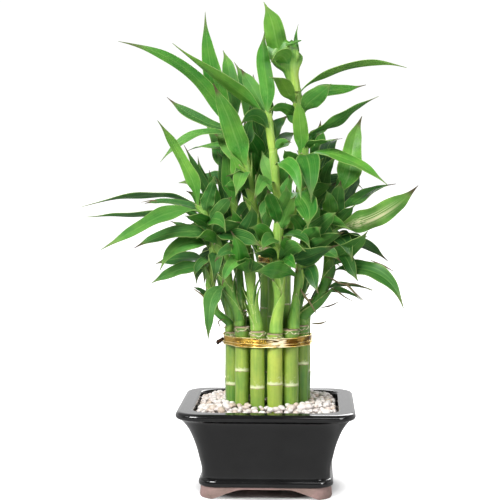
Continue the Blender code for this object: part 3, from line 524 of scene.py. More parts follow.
def ramp_up(tree, value, low, high, to_low=0.0, to_high=1.0):
    """A smooth climb from one level to another as a value goes from low to high."""
    inputs = {"Value": value, "From Min": low, "From Max": high, "To Min": to_low, "To Max": to_high}
    return add_node(tree, "ShaderNodeMapRange", inputs, interpolation_type="SMOOTHSTEP").outputs[0]


def blend(tree, share, first, second):
    """The first colour where the share is 0, and the second where it is 1."""
    inputs = {0: share, 6: first, 7: second}
    return add_node(tree, "ShaderNodeMix", inputs, data_type="RGBA", clamp_factor=True).outputs[2]


def noise(tree, coords, scale, detail, roughness=0.5):
    inputs = {"Vector": coords, "Scale": scale, "Detail": detail, "Roughness": roughness}
    return add_node(tree, "ShaderNodeTexNoise", inputs).outputs["Fac"]


def stretched(tree, coords, scale):
    return add_node(tree, "ShaderNodeMapping", {"Vector": coords, "Scale": scale}).outputs[0]


def object_coords(tree):
    return add_node(tree, "ShaderNodeTexCoord").outputs["Object"]


def attribute(tree, name):
    return add_node(tree, "ShaderNodeAttribute", attribute_name=name).outputs["Fac"]


def bump(tree, height, strength, distance):
    inputs = {"Height": height, "Strength": strength, "Distance": distance}
    return add_node(tree, "ShaderNodeBump", inputs).outputs[0]


def new_group(name, takes, gives):
    """An empty shader group with the named sockets, as (tree, its inputs, its output node)."""
    tree = bpy.data.node_groups.new(name, "ShaderNodeTree")
    for socket, kind in takes:
        tree.interface.new_socket(name=socket, in_out="INPUT", socket_type=kind)
    for socket, kind in gives:
        tree.interface.new_socket(name=socket, in_out="OUTPUT", socket_type=kind)
    inside = tree.nodes.new("NodeGroupInput")
    result = tree.nodes.new("NodeGroupOutput")
    return tree, inside.outputs, result


def place_group(tree, group, inputs):
    node = tree.nodes.new("ShaderNodeGroup")
    node.node_tree = group
    for socket, value in inputs.items():
        feed(tree, node.inputs[socket], value)
    return node.outputs


def mottled(tree, mottle, colour, coords, scale, strength):
    """The colour in patches, as the mottle's outputs."""
    inputs = {"Colour": colour, "Vector": coords, "Scale": scale, "Strength": strength}
    return place_group(tree, mottle, inputs)


def build_mottle():
    """Patches of lighter and darker, yellower and bluer growth, with a fine height that goes with them."""
    takes = [("Colour", "NodeSocketColor"), ("Vector", "NodeSocketVector"),
             ("Scale", "NodeSocketFloat"), ("Strength", "NodeSocketFloat")]
    gives = [("Colour", "NodeSocketColor"), ("Height", "NodeSocketFloat")]
    tree, inputs, result = new_group("growth_mottle", takes, gives)
    broad = noise(tree, inputs["Vector"], inputs["Scale"], 2.0)
    fine = noise(tree, inputs["Vector"], times(tree, inputs["Scale"], 5.3), 4.0, 0.6)
    both = plus(tree, times(tree, broad, 0.65), times(tree, fine, 0.35))
    off_middle = minus(tree, both, 0.5)
    change = times(tree, times(tree, off_middle, inputs["Strength"]), 3.0)
    hue = plus(tree, 0.5, times(tree, minus(tree, broad, 0.5), -0.06))
    tinted = add_node(tree, "ShaderNodeHueSaturation", {
        "Hue": hue, "Saturation": 1.0, "Value": plus(tree, 1.0, change), "Fac": 1.0,
        "Color": inputs["Colour"]})
    feed(tree, result.inputs["Colour"], tinted.outputs[0])
    feed(tree, result.inputs["Height"], both)
    return tree


def new_material(name):
    made = bpy.data.materials.new(name)
    made.use_nodes = True
    tree = made.node_tree
    return made, tree, tree.nodes["Principled BSDF"]


def set_shader(tree, shader, **inputs):
    for socket, value in inputs.items():
        feed(tree, shader.inputs[socket.replace("_", " ")], value)


def leaf_material(name, deep, fresh, young, sheen_roughness, mottle):
    """A blade: faint veins, paler midrib, painted rim highlight on the margins, dry tip. Its map runs base to
    tip.

    A tone over 1.1 marks the one leaf that is streaked with cream.
    """
    made, tree, shader = new_material(name)
    blade_map = add_node(tree, "ShaderNodeUVMap", uv_map="UVMap").outputs[0]
    split = add_node(tree, "ShaderNodeSeparateXYZ", {0: blade_map})
    along, across = split.outputs[0], split.outputs[1]
    off_rib = maths(tree, "ABSOLUTE", minus(tree, across, 0.5))
    tone = attribute(tree, "tone")
    streaked = ramp_up(tree, tone, 1.1, 1.3)
    coords = add_node(tree, "ShaderNodeCombineXYZ", {
        0: times(tree, along, 1.3), 1: times(tree, across, 26.0), 2: times(tree, tone, 37.0)}).outputs[0]
    veins = noise(tree, coords, 1.0, 3.0, 0.6)
    youth = times(tree, ramp_up(tree, tone, 0.5, 1.0), ramp_up(tree, tone, 1.1, 1.3, 1.0, 0.4))
    base = blend(tree, youth, blend(tree, ramp_up(tree, tone, 0.0, 0.55), deep, fresh), young)
    grown = mottled(tree, mottle, base, object_coords(tree), 60.0, 0.42)
    light = blend(tree, 0.5, grown["Colour"], VEIN_GREEN)
    veined = blend(tree, ramp_up(tree, veins, 0.45, 0.68, 0.0, 0.42), grown["Colour"], light)
    stripes = times(tree, streaked, ramp_up(tree, veins, 0.42, 0.58))
    lower = times(tree, ramp_up(tree, along, 0.02, 0.2), ramp_up(tree, along, 0.5, 0.85, 1.0, 0.0))
    inner = times(tree, ramp_up(tree, off_rib, 0.06, 0.34, 1.0, 0.0), lower)
    striped = blend(tree, times(tree, stripes, inner), veined, STRIPE_CREAM)
    ribbed = blend(tree, ramp_up(tree, off_rib, 0.01, 0.045, 0.20, 0.0), striped, RIB_GREEN)
    # Painted rim highlight: a pale line along the margins.
    rim_lit = blend(tree, ramp_up(tree, off_rib, 0.45, 0.49, 0.0, 0.5), ribbed, RIM_HIGHLIGHT_GREEN)
    rooted = blend(tree, ramp_up(tree, along, 0.02, 0.16, 0.4, 0.0), rim_lit, ROOT_GREEN)
    dry_edge = plus(tree, along, times(tree, minus(tree, veins, 0.5), 0.16))
    paled = blend(tree, ramp_up(tree, dry_edge, 0.80, 0.95, 0.0, 0.35), rooted, PALING_GREEN)
    chance = maths(tree, "FRACT", times(tree, tone, 17.3))
    tip_share = times(tree, ramp_up(tree, dry_edge, 0.85, 0.94), ramp_up(tree, chance, 0.2, 0.9, 0.1, 0.95))
    dried = blend(tree, tip_share, paled, TIP_BROWN)
    rough = plus(tree, sheen_roughness, times(tree, grown["Height"], 0.16))
    rib_groove = ramp_up(tree, off_rib, 0.0, 0.06, 0.6, 0.0)
    relief = bump(tree, minus(tree, times(tree, veins, 0.6), rib_groove), 0.3, 0.0006)
    set_shader(tree, shader, Base_Color=dried, Roughness=rough, Normal=relief, Specular_IOR_Level=0.28)
    return made


def skin_material(name, green, yellow, band_colour, cut_colour, streak_scale, gloss, mottle):
    """The skin of a cane, a shoot or a withered end: streaks up it, pale bands at rings, and brown cuts."""
    made, tree, shader = new_material(name)
    coords = object_coords(tree)
    streaks = noise(tree, stretched(tree, coords, (1.0, 1.0, 0.07)), streak_scale, 4.0, 0.6)
    tone = plus(tree, attribute(tree, "tone"), times(tree, minus(tree, streaks, 0.5), 0.9), clamp=True)
    grown = mottled(tree, mottle, blend(tree, tone, green, yellow), coords, 75.0, 0.2)
    ragged = times(tree, minus(tree, noise(tree, coords, 380.0, 4.0, 0.65), 0.5), 1.3)
    band = ramp_up(tree, plus(tree, attribute(tree, "band"), ragged), 0.25, 0.75)
    banded = blend(tree, times(tree, band, 0.85), grown["Colour"], band_colour)
    crack = ramp_up(tree, plus(tree, attribute(tree, "dry"), ragged), 0.35, 0.7)
    dried = blend(tree, crack, banded, blend(tree, streaks, cut_colour, CRACK_PALE))
    rough = plus(tree, 0.55 - gloss, times(tree, plus(tree, crack, band), 0.3), clamp=True)
    relief = bump(tree, plus(tree, times(tree, streaks, 0.6), times(tree, crack, 0.8)), 0.3, 0.0005)
    set_shader(tree, shader, Base_Color=dried, Roughness=rough, Normal=relief)
    set_shader(tree, shader, Coat_Weight=gloss, Coat_Roughness=0.25)
    return made


def glaze_material(mottle):
    """A dark glaze that flows thin and glossy over the clay, with small pits."""
    made, tree, shader = new_material("charcoal_glaze")
    coords = object_coords(tree)
    toned = mottled(tree, mottle, GLAZE_CHARCOAL, coords, 55.0, 0.5)
    flow = noise(tree, stretched(tree, coords, (1.0, 1.0, 0.35)), 32.0, 2.0)
    pits = ramp_up(tree, noise(tree, coords, 900.0, 1.0), 0.24, 0.30, 1.0, 0.0)
    relief = bump(tree, minus(tree, flow, times(tree, pits, 0.6)), 0.08, 0.0006)
    rough = plus(tree, 0.04, times(tree, toned["Height"], 0.08))
    set_shader(tree, shader, Base_Color=toned["Colour"], Roughness=rough, Normal=relief, IOR=1.47)
    return made


def clay_material(mottle):
    """Bare fired clay, pinkish and fine grained, for the feet."""
    made, tree, shader = new_material("bare_clay")
    coords = object_coords(tree)
    toned = mottled(tree, mottle, CLAY_PINK, coords, 70.0, 0.5)
    grain = noise(tree, coords, 1800.0, 3.0, 0.7)
    specks = ramp_up(tree, noise(tree, coords, 700.0, 2.0), 0.68, 0.74, 0.0, 0.5)
    speckled = blend(tree, specks, toned["Colour"], CLAY_SPECK)
    rough = ramp_up(tree, grain, 0.3, 0.7, 0.45, 0.7)
    set_shader(tree, shader, Base_Color=speckled, Roughness=rough, Normal=bump(tree, grain, 0.3, 0.0002))
    return made


def stone_material(mottle):
    """Tumbled pebbles, each its own shade of cream, pink or tan."""
    made, tree, shader = new_material("tumbled_stone")
    coords = object_coords(tree)
    tone = attribute(tree, "tone")
    warm = blend(tree, ramp_up(tree, tone, 0.0, 0.5), STONE_CREAM, STONE_PINK)
    base = blend(tree, ramp_up(tree, tone, 0.55, 1.0), warm, STONE_TAN)
    toned = mottled(tree, mottle, base, coords, 260.0, 0.35)
    specks = ramp_up(tree, noise(tree, coords, 1500.0, 3.0, 0.7), 0.62, 0.72, 0.0, 0.45)
    speckled = blend(tree, specks, toned["Colour"], STONE_SPECK)
    rough = plus(tree, 0.42, times(tree, toned["Height"], 0.35))
    relief = bump(tree, toned["Height"], 0.5, 0.0006)
    set_shader(tree, shader, Base_Color=speckled, Roughness=rough, Normal=relief)
    return made


def foil_material(name, bright, dull, crinkle, mottle):
    """Crinkled foil, creased along its length, with dull patches and a painted highlight: one stretch painted
    pale and rougher.
    """
    made, tree, shader = new_material(name)
    coords = object_coords(tree)
    patches = noise(tree, coords, 75.0, 2.0, 0.5)
    creases = noise(tree, stretched(tree, coords, (1.0, 1.0, 6.0)), 120.0, 3.0, 0.6)
    share = plus(tree, times(tree, patches, 0.6), times(tree, creases, 0.4))
    # The pale attribute is a painted highlight, strongest on the raised creases.
    pale = times(tree, attribute(tree, "pale"), ramp_up(tree, creases, 0.35, 0.55))
    patched = blend(tree, ramp_up(tree, share, 0.42, 0.56), dull, bright)
    highlighted = blend(tree, pale, patched, GOLD_HIGHLIGHT)
    toned = mottled(tree, mottle, highlighted, coords, 150.0, 0.3)
    rough = plus(tree, ramp_up(tree, creases, 0.3, 0.7, 0.42, 0.22), times(tree, pale, 0.25))
    relief = bump(tree, creases, crinkle, 0.0012)
    set_shader(tree, shader, Base_Color=toned["Colour"], Roughness=rough, Normal=relief, Metallic=1.0)
    return made


def soil_material(mottle):
    """Dark crumbly earth, seen only between the pebbles."""
    made, tree, shader = new_material("damp_soil")
    coords = object_coords(tree)
    crumbs = noise(tree, coords, 420.0, 6.0, 0.75)
    toned = mottled(tree, mottle, SOIL_BROWN, coords, 240.0, 0.8)
    relief = bump(tree, crumbs, 0.9, 0.002)
    set_shader(tree, shader, Base_Color=toned["Colour"], Roughness=0.95, Normal=relief)
    return made


# Modelling

def pick(thing):
    """Selects one object alone and makes it the active one."""
    bpy.ops.object.select_all(action="DESELECT")
    bpy.context.view_layer.objects.active = thing
    thing.select_set(True)


def add_object(name, data):
    made = bpy.data.objects.new(name, data)
    bpy.context.scene.collection.objects.link(made)
    return made


def begin(primitive, name, **options):
    """Adds a primitive on its own, as a new object of that name, and returns it."""
    bpy.ops.object.select_all(action="DESELECT")
    primitive(**options)
    made = bpy.context.object
    made.name = name
    made.data.name = name
    return made


def edit(thing):
    pick(thing)
    bpy.ops.object.mode_set(mode="EDIT")


def end_edit():
    bpy.ops.object.mode_set(mode="OBJECT")


def draw_up(rows):
    """Extrudes the selected outline up through rows of (size, height), scaling it to each size."""
    size, height = rows[0]
    for next_size, next_height in rows[1:]:
        rise = (0.0, 0.0, (next_height - height) * MM)
        bpy.ops.mesh.extrude_region_move(TRANSFORM_OT_translate={"value": rise})
        share = next_size / size
        bpy.ops.transform.resize(value=(share, share, 1.0), center_override=(0.0, 0.0, next_height * MM))
        size, height = next_size, next_height


def close_normals():
    bpy.ops.mesh.select_all(action="SELECT")
    bpy.ops.mesh.normals_make_consistent(inside=False)


def turned(name, rows, sides):
    """A closed turned solid round the upright axis, from rows of (radius, height)."""
    made = begin(bpy.ops.mesh.primitive_circle_add, name, vertices=sides, radius=rows[0][0] * MM,
                 fill_type="NGON", location=(0.0, 0.0, rows[0][1] * MM))
    bpy.ops.object.transform_apply(location=True)
    edit(made)
    bpy.ops.mesh.select_all(action="SELECT")
    draw_up(rows)
    close_normals()
    end_edit()
    return made


def squared(name, rows, segments):
    """A closed solid with a square plan and rounded corners, from rows of (half size, height)."""
    half, height = rows[0]
    made = begin(bpy.ops.mesh.primitive_plane_add, name, size=2 * half * MM, location=(0.0, 0.0, height * MM))
    bpy.ops.object.transform_apply(location=True)
    edit(made)
    bpy.ops.mesh.select_all(action="SELECT")
    bpy.ops.mesh.bevel(offset=CORNER_SHARE * half * MM, segments=segments, affect="VERTICES")
    bpy.ops.mesh.select_all(action="SELECT")
    draw_up(rows)
    close_normals()
    end_edit()
    return made


def apply_modifier(thing, kind, **settings):
    pick(thing)
    made = thing.modifiers.new(kind.title(), kind)
    for name, value in settings.items():
        setattr(made, name, value)
    bpy.ops.object.modifier_apply(modifier=made.name)


def smooth(thing, angle):
    pick(thing)
    bpy.ops.object.shade_smooth_by_angle(angle=math.radians(angle))


def settle(thing, offset=(0.0, 0.0, 0.0)):
    """Moves the piece's mesh to its place round the pot's middle, with its object left at the origin."""
    thing.data.transform(Matrix.Translation(MIDDLE + Vector(offset) * MM))


def join(things, name):
    bpy.ops.object.select_all(action="DESELECT")
    for thing in things:
        thing.select_set(True)
    bpy.context.view_layer.objects.active = things[0]
    if len(things) > 1:
        bpy.ops.object.join()
    things[0].name = name
    things[0].data.name = name
    return things[0]


def finish_piece(thing, slot, *nodes):
    """Makes the piece part of the plant, in place of its CAD nodes."""
    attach(thing, "root")
    if nodes:
        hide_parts(*nodes)


def write_values(mesh, name, values):
    """Stores one number for each vertex under a name that a material reads."""
    layer = mesh.attributes.get(name) or mesh.attributes.new(name, "FLOAT", "POINT")
    layer.data.foreach_set("value", values)


def write_skin(mesh, tones, bands, dries):
    """Stores what the skins read: how yellow, how near a pale ring and how dry each vertex is."""
    write_values(mesh, "tone", tones)
    write_values(mesh, "band", bands)
    write_values(mesh, "dry", dries)


def eased(value, low, high):
    """A smooth climb from 0 to 1 as a value goes from low to high."""
    share = min(max((value - low) / (high - low), 0.0), 1.0)
    return share * share * (3 - 2 * share)


def fair(rows, steps):
    """Rows between the given ones, on a smooth curve through them."""
    points = [Vector(row) for row in rows]
    spans = len(points) - 1
    return [tuple(curve_point(points, i / (spans * steps))) for i in range(spans * steps + 1)]


def curve_point(points, share):
    """A point of the smooth curve through the points, at a share of the way along."""
    spans = len(points) - 1
    at = min(max(share, 0.0), 1.0) * spans
    i = min(int(at), spans - 1)
    t = at - i
    p1, p2 = points[i], points[i + 1]
    p0 = points[i - 1] if i > 0 else p1 * 2 - p2
    p3 = points[i + 2] if i + 2 <= spans else p2 * 2 - p1
    return 0.5 * (2 * p1 + (p2 - p0) * t + (2 * p0 - 5 * p1 + 4 * p2 - p3) * t * t
                  + (3 * p1 - p0 - 3 * p2 + p3) * t ** 3)


# Pot

def build_pot(glaze, clay):
    """The glazed pot, from its outer wall over its rolled lip to its floor, with its bare feet joined on."""
    outside = [(51.5, BODY_BOTTOM), (53.2, 10.1), (54.1, 11.2), (54.2, 13.0), (53.7, 14.9), (52.6, 15.9),
               (51.8, 16.8), (52.1, 24.0), (53.6, 31.0), (56.6, 43.0), (61.2, 55.0), (65.8, 62.3)]
    lip_bottom = RIM_TOP - LIP_HEIGHT
    lip = [(68.6, lip_bottom + 0.1), (70.9, lip_bottom + 1.2), (RIM_HALF, lip_bottom + 3.3),
           (71.1, RIM_TOP - 1.1), (69.4, RIM_TOP - 0.1), (66.5, RIM_TOP), (62.0, RIM_TOP),
           (59.4, RIM_TOP - 0.1)]
    inside = [(58.3, RIM_TOP - 1.4), (57.6, 66.0), (54.5, 55.0), (50.0, 43.0), (47.0, 31.0), (45.6, 23.0),
              (44.0, FLOOR_TOP + 0.4), (40.0, FLOOR_TOP)]
    body = squared("glazed_pot", fair(outside + lip + inside, 3), 12)
    body.data.materials.append(glaze)
    feet = squared("feet", [(FOOT_HALF - 2.0, 0.0), (FOOT_HALF - 0.6, 0.6), (FOOT_HALF, 2.2),
                            (FOOT_HALF - 0.5, 7.0), (FOOT_HALF - 0.8, FOOT_HEIGHT)], 8)
    feet.data.materials.append(clay)
    for turn in (0.0, 90.0):
        cutter = arch_cutter(turn)
        apply_modifier(feet, "BOOLEAN", operation="DIFFERENCE", object=cutter, solver="EXACT")
        bpy.data.objects.remove(cutter)
    apply_modifier(feet, "BEVEL", width=0.7 * MM, segments=2, limit_method="ANGLE",
                   angle_limit=math.radians(50))
    apply_modifier(body, "BOOLEAN", operation="UNION", object=feet, solver="EXACT", material_mode="TRANSFER")
    bpy.data.objects.remove(feet)
    smooth(body, 35)
    settle(body)
    finish_piece(body, "glazed_ceramic", "pot")


def arch_cutter(turn):
    """A bar whose section is the low arch between two feet. Its lower face is just below the ground."""
    span = (2 * ARCH_HALF_FOOT * MM, 2.2 * FOOT_HALF * MM, 1.0)
    bar = begin(bpy.ops.mesh.primitive_grid_add, "arch", x_subdivisions=28, y_subdivisions=1, size=1.0)
    edit(bar)
    bpy.ops.mesh.select_all(action="SELECT")
    bpy.ops.transform.resize(value=span, center_override=(0.0, 0.0, 0.0))
    bpy.ops.transform.translate(value=(0.0, 0.0, -ARCH_DROP * MM))
    bpy.ops.mesh.extrude_region_move(TRANSFORM_OT_translate={"value": (0.0, 0.0, ARCH_DROP * MM)})
    end_edit()
    for vertex in bar.data.vertices:
        if vertex.co.z > -MM:
            vertex.co.z = arch_height(abs(vertex.co.x) / MM) * MM
    edit(bar)
    close_normals()
    end_edit()
    bar.data.transform(Matrix.Rotation(math.radians(turn), 4, "Z"))
    return bar


def arch_height(across):
    """The arch's height at a distance from its middle: flat on top, and down to the ground in a curve."""
    share = min(max((ARCH_HALF_FOOT - across) / (ARCH_HALF_FOOT - ARCH_HALF_TOP), 0.0), 1.0)
    return ARCH_HEIGHT * (1 - (1 - share) ** 1.3)


# Canes

def cane_place(cane):
    """Where a cane stands, from the pot's middle."""
    angle = math.radians(cane.angle)
    way = Vector((math.sin(angle), -math.cos(angle)))
    if cane in TALL_CANES:
        return TALL_MIDDLE + way * TALL_SPREAD
    return way * (BUNDLE_RADIUS - cane.radius)


def cane_rows(cane):
    """The cane's outline: each length is waisted, and the one below a ring ends in a sharp shoulder."""
    radius, top = cane.radius, cane.top
    rows = [(radius - 0.7, CANE_FOOT), (radius - 0.2, CANE_FOOT + 0.8)]
    last = CANE_FOOT
    for ring in cane.rings:
        for share in (0.3, 0.6, 0.85):
            rows.append((radius - 0.52 + 0.3 * abs(share - 0.5), last + (ring - last) * share))
        rows += [(radius - 0.12, ring - 1.4), (radius, ring - 0.35), (radius - 0.04, ring),
                 (radius - 0.42, ring + 0.12), (radius - 0.3, ring + 1.3), (radius - 0.24, ring + 2.6)]
        last = ring + 2.6
    if top - last > 1.2:
        rows.append((radius - 0.36, last + 0.5 * (top - last)))
    rows += [(radius - 0.55, top - 0.5), (radius - 1.0, top), (radius - 1.7, top),
             (radius - 2.1, top - 0.5), (radius - 4.2, top - 0.6)]
    return rows


def build_scar(cane, draw):
    """The ragged dry line that an old sheath left round the top of a cane."""
    height = cane.top - draw.uniform(1.8, 3.0)
    phases = [draw.uniform(0, ANY_TURN) for _ in range(3)]
    points, radii = [], []
    for i in range(SCAR_STEPS):
        turn = 2 * math.pi * i / SCAR_STEPS
        waves = 0.9 * math.sin(3 * turn + phases[0]) + 0.6 * math.sin(7 * turn + phases[1])
        dip = waves + draw.uniform(-0.3, 0.3)
        reach = cane.radius + 0.05 + 0.2 * math.sin(5 * turn + phases[2]) + draw.uniform(-0.05, 0.2)
        points.append((reach * math.cos(turn), reach * math.sin(turn), height + dip))
        radii.append(draw.uniform(0.5, 1.3))
    scar = line("scar_" + cane.name, points, True, radius=0.4, radii=radii)
    count = len(scar.data.vertices)
    write_skin(scar.data, [0.7] * count, [0.9] * count, [draw.uniform(0.25, 0.7) for _ in range(count)])
    return scar


def paint_cane(piece, cane, phase):
    """Stores the cane's tones with painted shade, the pale bands above its rings, and how dry its rings and
    its top are.
    """
    tall = cane in TALL_CANES
    tones, bands, dries = [], [], []
    for vertex in piece.data.vertices:
        height = vertex.co.z / MM
        passed = [height - ring for ring in cane.rings if height > ring + 0.05]
        # Painted shade: darker near the top under the leaves, below the first ring, and on the tall inner
        # canes.
        painted_shade = 0.35 * eased(height, cane.top - 14, cane.top - 2) if passed else 0.25
        painted_shade += 0.25 if tall else 0.0
        tones.append(CANE_TONE.get(cane.name, USUAL_CANE_TONE) - painted_shade + 0.05 * math.sin(height / 9 + phase))
        over = min(passed, default=99.0)
        banded = over < 3.6 and len(passed) < len(cane.rings)
        # Painted shade: the tall inner canes' pale bands are dimmer.
        bands.append((0.55 if tall else 1.15) - over / 3.1 if banded else 0.0)
        on_ring = any(abs(height - ring + 0.15) < 0.25 for ring in cane.rings)
        dries.append(max(eased(height, cane.top - 1.6, cane.top - 0.4), 0.62 if on_ring else 0.0))
    write_skin(piece.data, tones, bands, dries)


def swell_cane(piece, phase):
    """Makes the cane a little out of round above the pebbles."""
    for vertex in piece.data.vertices:
        turn = math.atan2(vertex.co.y, vertex.co.x)
        swell = 1 + 0.022 * math.sin(2 * turn + phase) * eased(vertex.co.z / MM, 66, 84)
        vertex.co.x *= swell
        vertex.co.y *= swell


def build_canes(skin):
    for number, cane in enumerate(SHORT_CANES + TALL_CANES):
        name = "skin_of_" + cane.name
        piece = turned(name, cane_rows(cane), CANE_SIDES)
        draw = random.Random(number)
        phase = draw.uniform(0, ANY_TURN)
        paint_cane(piece, cane, phase)
        swell_cane(piece, phase)
        scar = build_scar(cane, draw)
        for part in (piece, scar):
            part.data.materials.append(skin)
        piece = join([piece, scar], name)
        smooth(piece, 40)
        spot = cane_place(cane)
        settle(piece, (spot.x, spot.y, 0.0))
        finish_piece(piece, "cane", cane.name)


# Pebbles

def heap_height(x, y):
    """The height of the pebbles, which are heaped against the canes."""
    out = max(abs(x), abs(y), 0.75 * math.hypot(x, y)) / PEBBLE_HALF
    return PEBBLE_EDGE + (PEBBLE_HEAP - PEBBLE_EDGE) * max(0.0, 1 - out ** 4)


def stone_shapes(count):
    """A few tumbled stones of about one unit's radius."""
    shapes = []
    for number in range(count):
        draw = random.Random(40 + number)
        stone = begin(bpy.ops.mesh.primitive_ico_sphere_add, "stone", subdivisions=2, radius=1.0)
        edit(stone)
        bpy.ops.mesh.select_all(action="SELECT")
        bpy.ops.transform.vertex_random(offset=0.16, seed=number + 3)
        squash = (draw.uniform(1.0, 1.3), draw.uniform(0.8, 1.0), draw.uniform(0.62, 0.85))
        bpy.ops.transform.resize(value=squash, center_override=(0.0, 0.0, 0.0))
        end_edit()
        shapes.append(stone.data.copy())
        bpy.data.objects.remove(stone)
    return shapes


def pebble_fits(x, y, size, layer, laid):
    """Whether a pebble keeps inside the pot, off the canes and clear enough of its own layer."""
    edge = PEBBLE_WALL - 0.7 * size
    if max(abs(x), abs(y)) > edge or abs(x) + abs(y) > 1.86 * edge - 8:
        return False
    spot = Vector((x, y))
    if any((spot - cane_place(cane)).length < cane.radius + 0.75 * size for cane in SHORT_CANES):
        return False
    if layer < len(PEBBLE_LAYERS) - 1 and math.hypot(x, y) < BUNDLE_RADIUS - PEBBLE_UNDER:
        return False
    spacing = PEBBLE_LAYERS[layer][1]
    return all(math.hypot(x - a, y - b) >= 0.62 * spacing * (size + other) for a, b, other in laid)


def build_pebbles(stone):
    """Loose pebbles in three layers. Only the top one goes on between the canes."""
    draw = random.Random(11)
    shapes = stone_shapes(PEBBLE_SHAPES)
    bed = bmesh.new()
    tones = []
    for layer, (depth, _, tries) in enumerate(PEBBLE_LAYERS):
        laid = []
        for _ in range(tries):
            size = draw.choice(PEBBLE_SIZES)
            x, y = draw.uniform(-PEBBLE_REACH, PEBBLE_REACH), draw.uniform(-PEBBLE_REACH, PEBBLE_REACH)
            if not pebble_fits(x, y, size, layer, laid):
                continue
            laid.append((x, y, size))
            height = heap_height(x, y) - depth + draw.uniform(-0.9, 0.9) - 0.3 * size
            turn = Matrix.Rotation(draw.uniform(0, ANY_TURN), 4, "Z")
            tilt = Matrix.Rotation(draw.uniform(-0.5, 0.5), 4, "X")
            move = Matrix.Translation(place((x, y, height)))
            before = len(bed.verts)
            bed.from_mesh(draw.choice(shapes))
            bed.verts.ensure_lookup_table()
            new = bed.verts[before:]
            bmesh.ops.transform(bed, matrix=move @ (turn @ tilt) @ Matrix.Scale(size * MM, 4), verts=new)
            tones += [draw.random()] * len(new)
    mesh = bpy.data.meshes.new("pebble_bed")
    bed.to_mesh(mesh)
    bed.free()
    write_values(mesh, "tone", tones)
    piece = add_object("pebble_bed", mesh)
    mesh.materials.append(stone)
    smooth(piece, 60)
    finish_piece(piece, "pebble", "pebbles")


# Ties

def taut_loop(circles, clearance):
    """The plan of a band pulled taut round circles that are given in order, anticlockwise."""
    count = len(circles)
    turns = []
    for i in range(count):
        (spot, radius), (next_spot, next_radius) = circles[i], circles[(i + 1) % count]
        run = next_spot - spot
        lean = math.asin((radius - next_radius) / run.length)
        turns.append(math.atan2(run.y, run.x) - math.pi / 2 + lean)
    points = []
    for i, (spot, radius) in enumerate(circles):
        start, end = turns[i - 1], turns[i]
        while end < start:
            end += 2 * math.pi
        steps = max(2, math.ceil(math.degrees(end - start) / 6))
        for step in range(steps + 1):
            angle = start + (end - start) * step / steps
            way = Vector((math.cos(angle), math.sin(angle)))
            points.append(spot + way * (radius + clearance))
    return points


def around(canes, middle):
    """The canes' circles in order round their middle, anticlockwise."""
    circles = [(cane_place(cane), cane.radius) for cane in canes]
    return sorted(circles, key=lambda item: math.atan2(item[0].y - middle.y, item[0].x - middle.x))


def line(name, points, closed, radius=0.0, half_height=0.0, radii=None):
    """A curve through the points, drawn as a round strand or an upright ribbon, and made a mesh."""
    drawn = bpy.data.curves.new(name, "CURVE")
    drawn.dimensions = "3D"
    drawn.twist_mode = "Z_UP"
    spline = drawn.splines.new("POLY")
    spline.points.add(len(points) - 1)
    for i, point in enumerate(points):
        spline.points[i].co = (*(Vector(point) * MM), 1.0)
        if radii:
            spline.points[i].radius = radii[i]
    spline.use_cyclic_u = closed
    drawn.bevel_depth = radius * MM
    drawn.bevel_resolution = 3
    drawn.extrude = half_height * MM
    drawn.use_fill_caps = True
    pick(add_object(name, drawn))
    bpy.ops.object.convert(target="MESH")
    return bpy.context.object


def painted_highlight(spot):
    """How much painted highlight the foil has: most on one stretch at the front."""
    return eased(-spot.y, 20, 26) * eased(spot.x, 2, 5) * (1 - eased(spot.x, 13, 16))


def waver(i, phase):
    """How far a strand strays up or down at one point of its round."""
    return 0.28 * math.sin(i * 0.31 + phase) + 0.2 * math.sin(i * 0.83 + 2 * phase)


def build_tie(circles, span, strands, bright, dull, node):
    """A crinkled foil band with bright strands wound round it."""
    low, high = span
    draw = random.Random(len(circles))
    points = [(p.x, p.y, (low + high) / 2) for p in taut_loop(circles, GAP + 0.35)]
    band = line(node + "_foil", points, True, half_height=(high - low) / 2 - 0.5)
    edit(band)
    bpy.ops.mesh.select_all(action="SELECT")
    bpy.ops.mesh.subdivide(number_cuts=3)
    end_edit()
    apply_modifier(band, "SOLIDIFY", thickness=FOIL_THICKNESS * MM, offset=0.0)
    band.data.materials.append(dull)
    pieces = [band]
    plan = taut_loop(circles, GAP + 0.75)
    for share, radius in strands:
        phase = draw.uniform(0, ANY_TURN)
        height = low + share * (high - low)
        points = [(p.x, p.y, height + waver(i, phase)) for i, p in enumerate(plan)]
        strand = line(node + "_strand", points, True, radius=radius)
        strand.data.materials.append(bright)
        pieces.append(strand)
    piece = join(pieces, node + "_foil")
    # The pale attribute marks the painted highlight on one stretch at the front.
    write_values(piece.data, "pale", [painted_highlight(vertex.co / MM) for vertex in piece.data.vertices])
    smooth(piece, 50)
    settle(piece)
    finish_piece(piece, "gold_foil", node)


def build_twist(dark):
    """The lower tie's two ends, twisted together and cut short."""
    ends = []
    for side in (0.0, math.pi):
        points = []
        for i in range(TWIST_STEPS + 1):
            share = i / TWIST_STEPS
            turn = side + 9.5 * share
            spread_out = 0.75 + 0.55 * eased(share, 0.75, 1.0)
            points.append((-BUNDLE_RADIUS - 0.6 - 4.9 * share,
                           -4.0 - 1.5 * share + spread_out * math.cos(turn),
                           123.4 - 3.0 * share + 1.5 * spread_out * math.sin(turn)))
        end = line("twist_end", points, False, radius=0.85)
        end.data.materials.append(dark)
        ends.append(end)
    piece = join(ends, "tie_twisted_ends")
    smooth(piece, 50)
    settle(piece)
    finish_piece(piece, "gold_foil")


def build_ties(bright, dull, dark):
    short = around(SHORT_CANES, Vector((0.0, 0.0)))
    tall = around(TALL_CANES, TALL_MIDDLE)
    build_tie(short, LOWER_TIE, LOWER_STRANDS, bright, dull, "lower_tie")
    build_tie(tall, UPPER_TIE, UPPER_STRANDS, bright, dull, "upper_tie")
    build_twist(dark)


# Lines that shoots and leaves grow along

